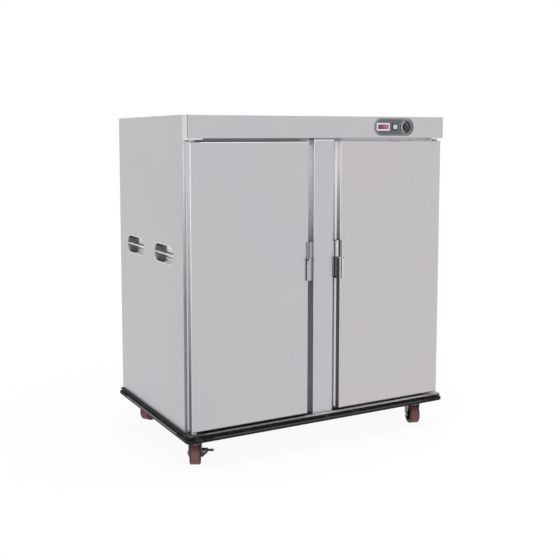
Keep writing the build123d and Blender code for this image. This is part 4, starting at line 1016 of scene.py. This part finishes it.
class CART_OT_studio(bpy.types.Operator):
    """Set the camera, the lamps, the floor and the white surroundings"""

    bl_idname = "cart.studio"
    bl_label = "Studio"

    def execute(self, context):
        studio = context.scene.cart_studio
        context.scene.view_settings.view_transform = "Standard"
        farthest_seen = 200
        bpy.ops.object.select_all(action="DESELECT")
        bpy.ops.object.camera_add(location=studio.camera_place)
        camera = context.object
        camera.name = "photo_camera"
        turn = Matrix.Rotation(-studio.yaw, 3, "Z") @ Matrix.Rotation(pi / 2 - studio.pitch, 3, "X")
        camera.rotation_euler = (turn @ Matrix.Rotation(studio.roll, 3, "Z")).to_euler()
        camera.data.lens = studio.lens
        camera.data.shift_x, camera.data.shift_y = studio.shift
        camera.data.clip_end = farthest_seen
        context.scene.camera = camera
        self.lay_floor(studio)
        self.hang_lamps(studio)
        self.paint_world(context.scene, studio)
        return {"FINISHED"}

    def lay_floor(self, studio):
        """A wide white floor that keeps the cart's soft shadow."""
        floor_size, mottles_per_metre = 40.0, 3.0
        bpy.ops.mesh.primitive_plane_add(size=floor_size)
        floor = bpy.context.object
        floor.name = "floor"
        # Painted floor: matt white, faintly mottled.
        material, tree, place, _ = start_material("white_floor")
        settings = {"Scale": mottles_per_metre, "Detail": 2.0}
        mottle = add_node(tree, "ShaderNodeTexNoise", settings, {"Vector": place})
        settings = {"data_type": "RGBA", FIRST: shaded(studio.floor, 0.99), SECOND: shaded(studio.floor)}
        tone = add_node(tree, "ShaderNodeMix", settings, {SHARE: mottle})
        matt = add_node(tree, "ShaderNodeBsdfDiffuse", links={"Color": tone})
        white = add_node(tree, "ShaderNodeEmission", {"Color": WHITE, "Strength": 1.0})
        # Near the cart a little of the shadow shows; farther off the floor runs into the white surroundings.
        near, far, near_share = 0.9, 2.6, 0.92
        away = add_node(tree, "ShaderNodeVectorMath", {"operation": "LENGTH"}, {0: place})
        limits = {"From Min": near, "From Max": far, "To Min": near_share, "To Max": 1.0}
        fade = add_node(tree, "ShaderNodeMapRange", limits, {"Value": away})
        links = {0: self.seen_rays(tree), 1: fade}
        share = add_node(tree, "ShaderNodeMath", {"operation": "MULTIPLY"}, links)
        mixed = add_node(tree, "ShaderNodeMixShader", links={0: share, 1: matt, 2: white})
        add_node(tree, "ShaderNodeOutputMaterial", links={"Surface": mixed})
        floor.data.materials.append(material)

    def seen_rays(self, tree):
        """One for rays from the camera and for those that metal or glass sends on."""
        path = add_node(tree, "ShaderNodeLightPath").outputs
        seen = path["Is Camera Ray"]
        for kind in ("Is Glossy Ray", "Is Transmission Ray"):
            seen = add_node(tree, "ShaderNodeMath", {"operation": "MAXIMUM"}, {0: seen, 1: path[kind]})
        return seen

    def hang_lamps(self, studio):
        """A wide lamp overhead and two upright strips that draw bright lines along the folds."""
        middle = Vector((0, 0, 0.8))
        # For each lamp, its place, its width and height and its power.
        lamps = (
            ("top_lamp", Vector((0.6, -0.9, 4.2)), (3.5, 2.5), studio.top_lamp),
            ("left_strip", Vector((-4.6, -2.2, 1.6)), (0.8, 3.0), studio.left_lamp),
            ("right_strip", Vector((4.8, -0.8, 1.6)), (0.8, 3.0), studio.right_lamp),
        )
        for name, place, size, power in lamps:
            bpy.ops.object.light_add(type="AREA", location=place)
            lamp = bpy.context.object
            lamp.name = name
            lamp.data.shape = "RECTANGLE"
            lamp.data.size, lamp.data.size_y = size
            lamp.data.energy = power
            lamp.rotation_euler = (middle - place).to_track_quat("-Z", "Y").to_euler()

    def paint_world(self, scene, studio):
        """White where it is seen or mirrored, and a soft even light elsewhere."""
        world = bpy.data.worlds.new("white_studio")
        world.use_nodes = True
        tree = world.node_tree
        tree.nodes.clear()
        seen = add_node(tree, "ShaderNodeBackground", {"Color": WHITE, "Strength": 1.0})
        light = add_node(tree, "ShaderNodeBackground", {"Color": WHITE, "Strength": studio.sky})
        mixed = add_node(tree, "ShaderNodeMixShader", links={0: self.seen_rays(tree), 1: light, 2: seen})
        add_node(tree, "ShaderNodeOutputWorld", links={"Surface": mixed})
        scene.world = world


class CART_PT_panel(bpy.types.Panel):
    """The steps that dress the cart, in order"""

    bl_label = "Food Warmer Cart"
    bl_idname = "CART_PT_panel"
    bl_space_type = "VIEW_3D"
    bl_region_type = "UI"
    bl_category = "Cart"

    def draw(self, context):
        for step in STEPS:
            self.layout.operator(step.bl_idname)


STEPS = (
    CART_OT_sheet_metal,
    CART_OT_small_finishes,
    CART_OT_caster_finishes,
    CART_OT_caster_bolts,
    CART_OT_screws,
    CART_OT_display_digits,
    CART_OT_dial_marks,
    CART_OT_studio,
)
GROUPS = {"cart_colours": CartColours, "cart_sizes": CartSizes, "cart_studio": CartStudio}


def register():
    for made in (*GROUPS.values(), *STEPS, CART_PT_panel):
        bpy.utils.register_class(made)
    for name, group in GROUPS.items():
        setattr(bpy.types.Scene, name, PointerProperty(type=group))


def unregister():
    for name in GROUPS:
        delattr(bpy.types.Scene, name)
    for made in reversed((*GROUPS.values(), *STEPS, CART_PT_panel)):
        bpy.utils.unregister_class(made)


def main():
    register()
    for step in STEPS:
        family, call = step.bl_idname.split(".")
        getattr(getattr(bpy.ops, family), call)()


if __name__ == "__main__":
    main()
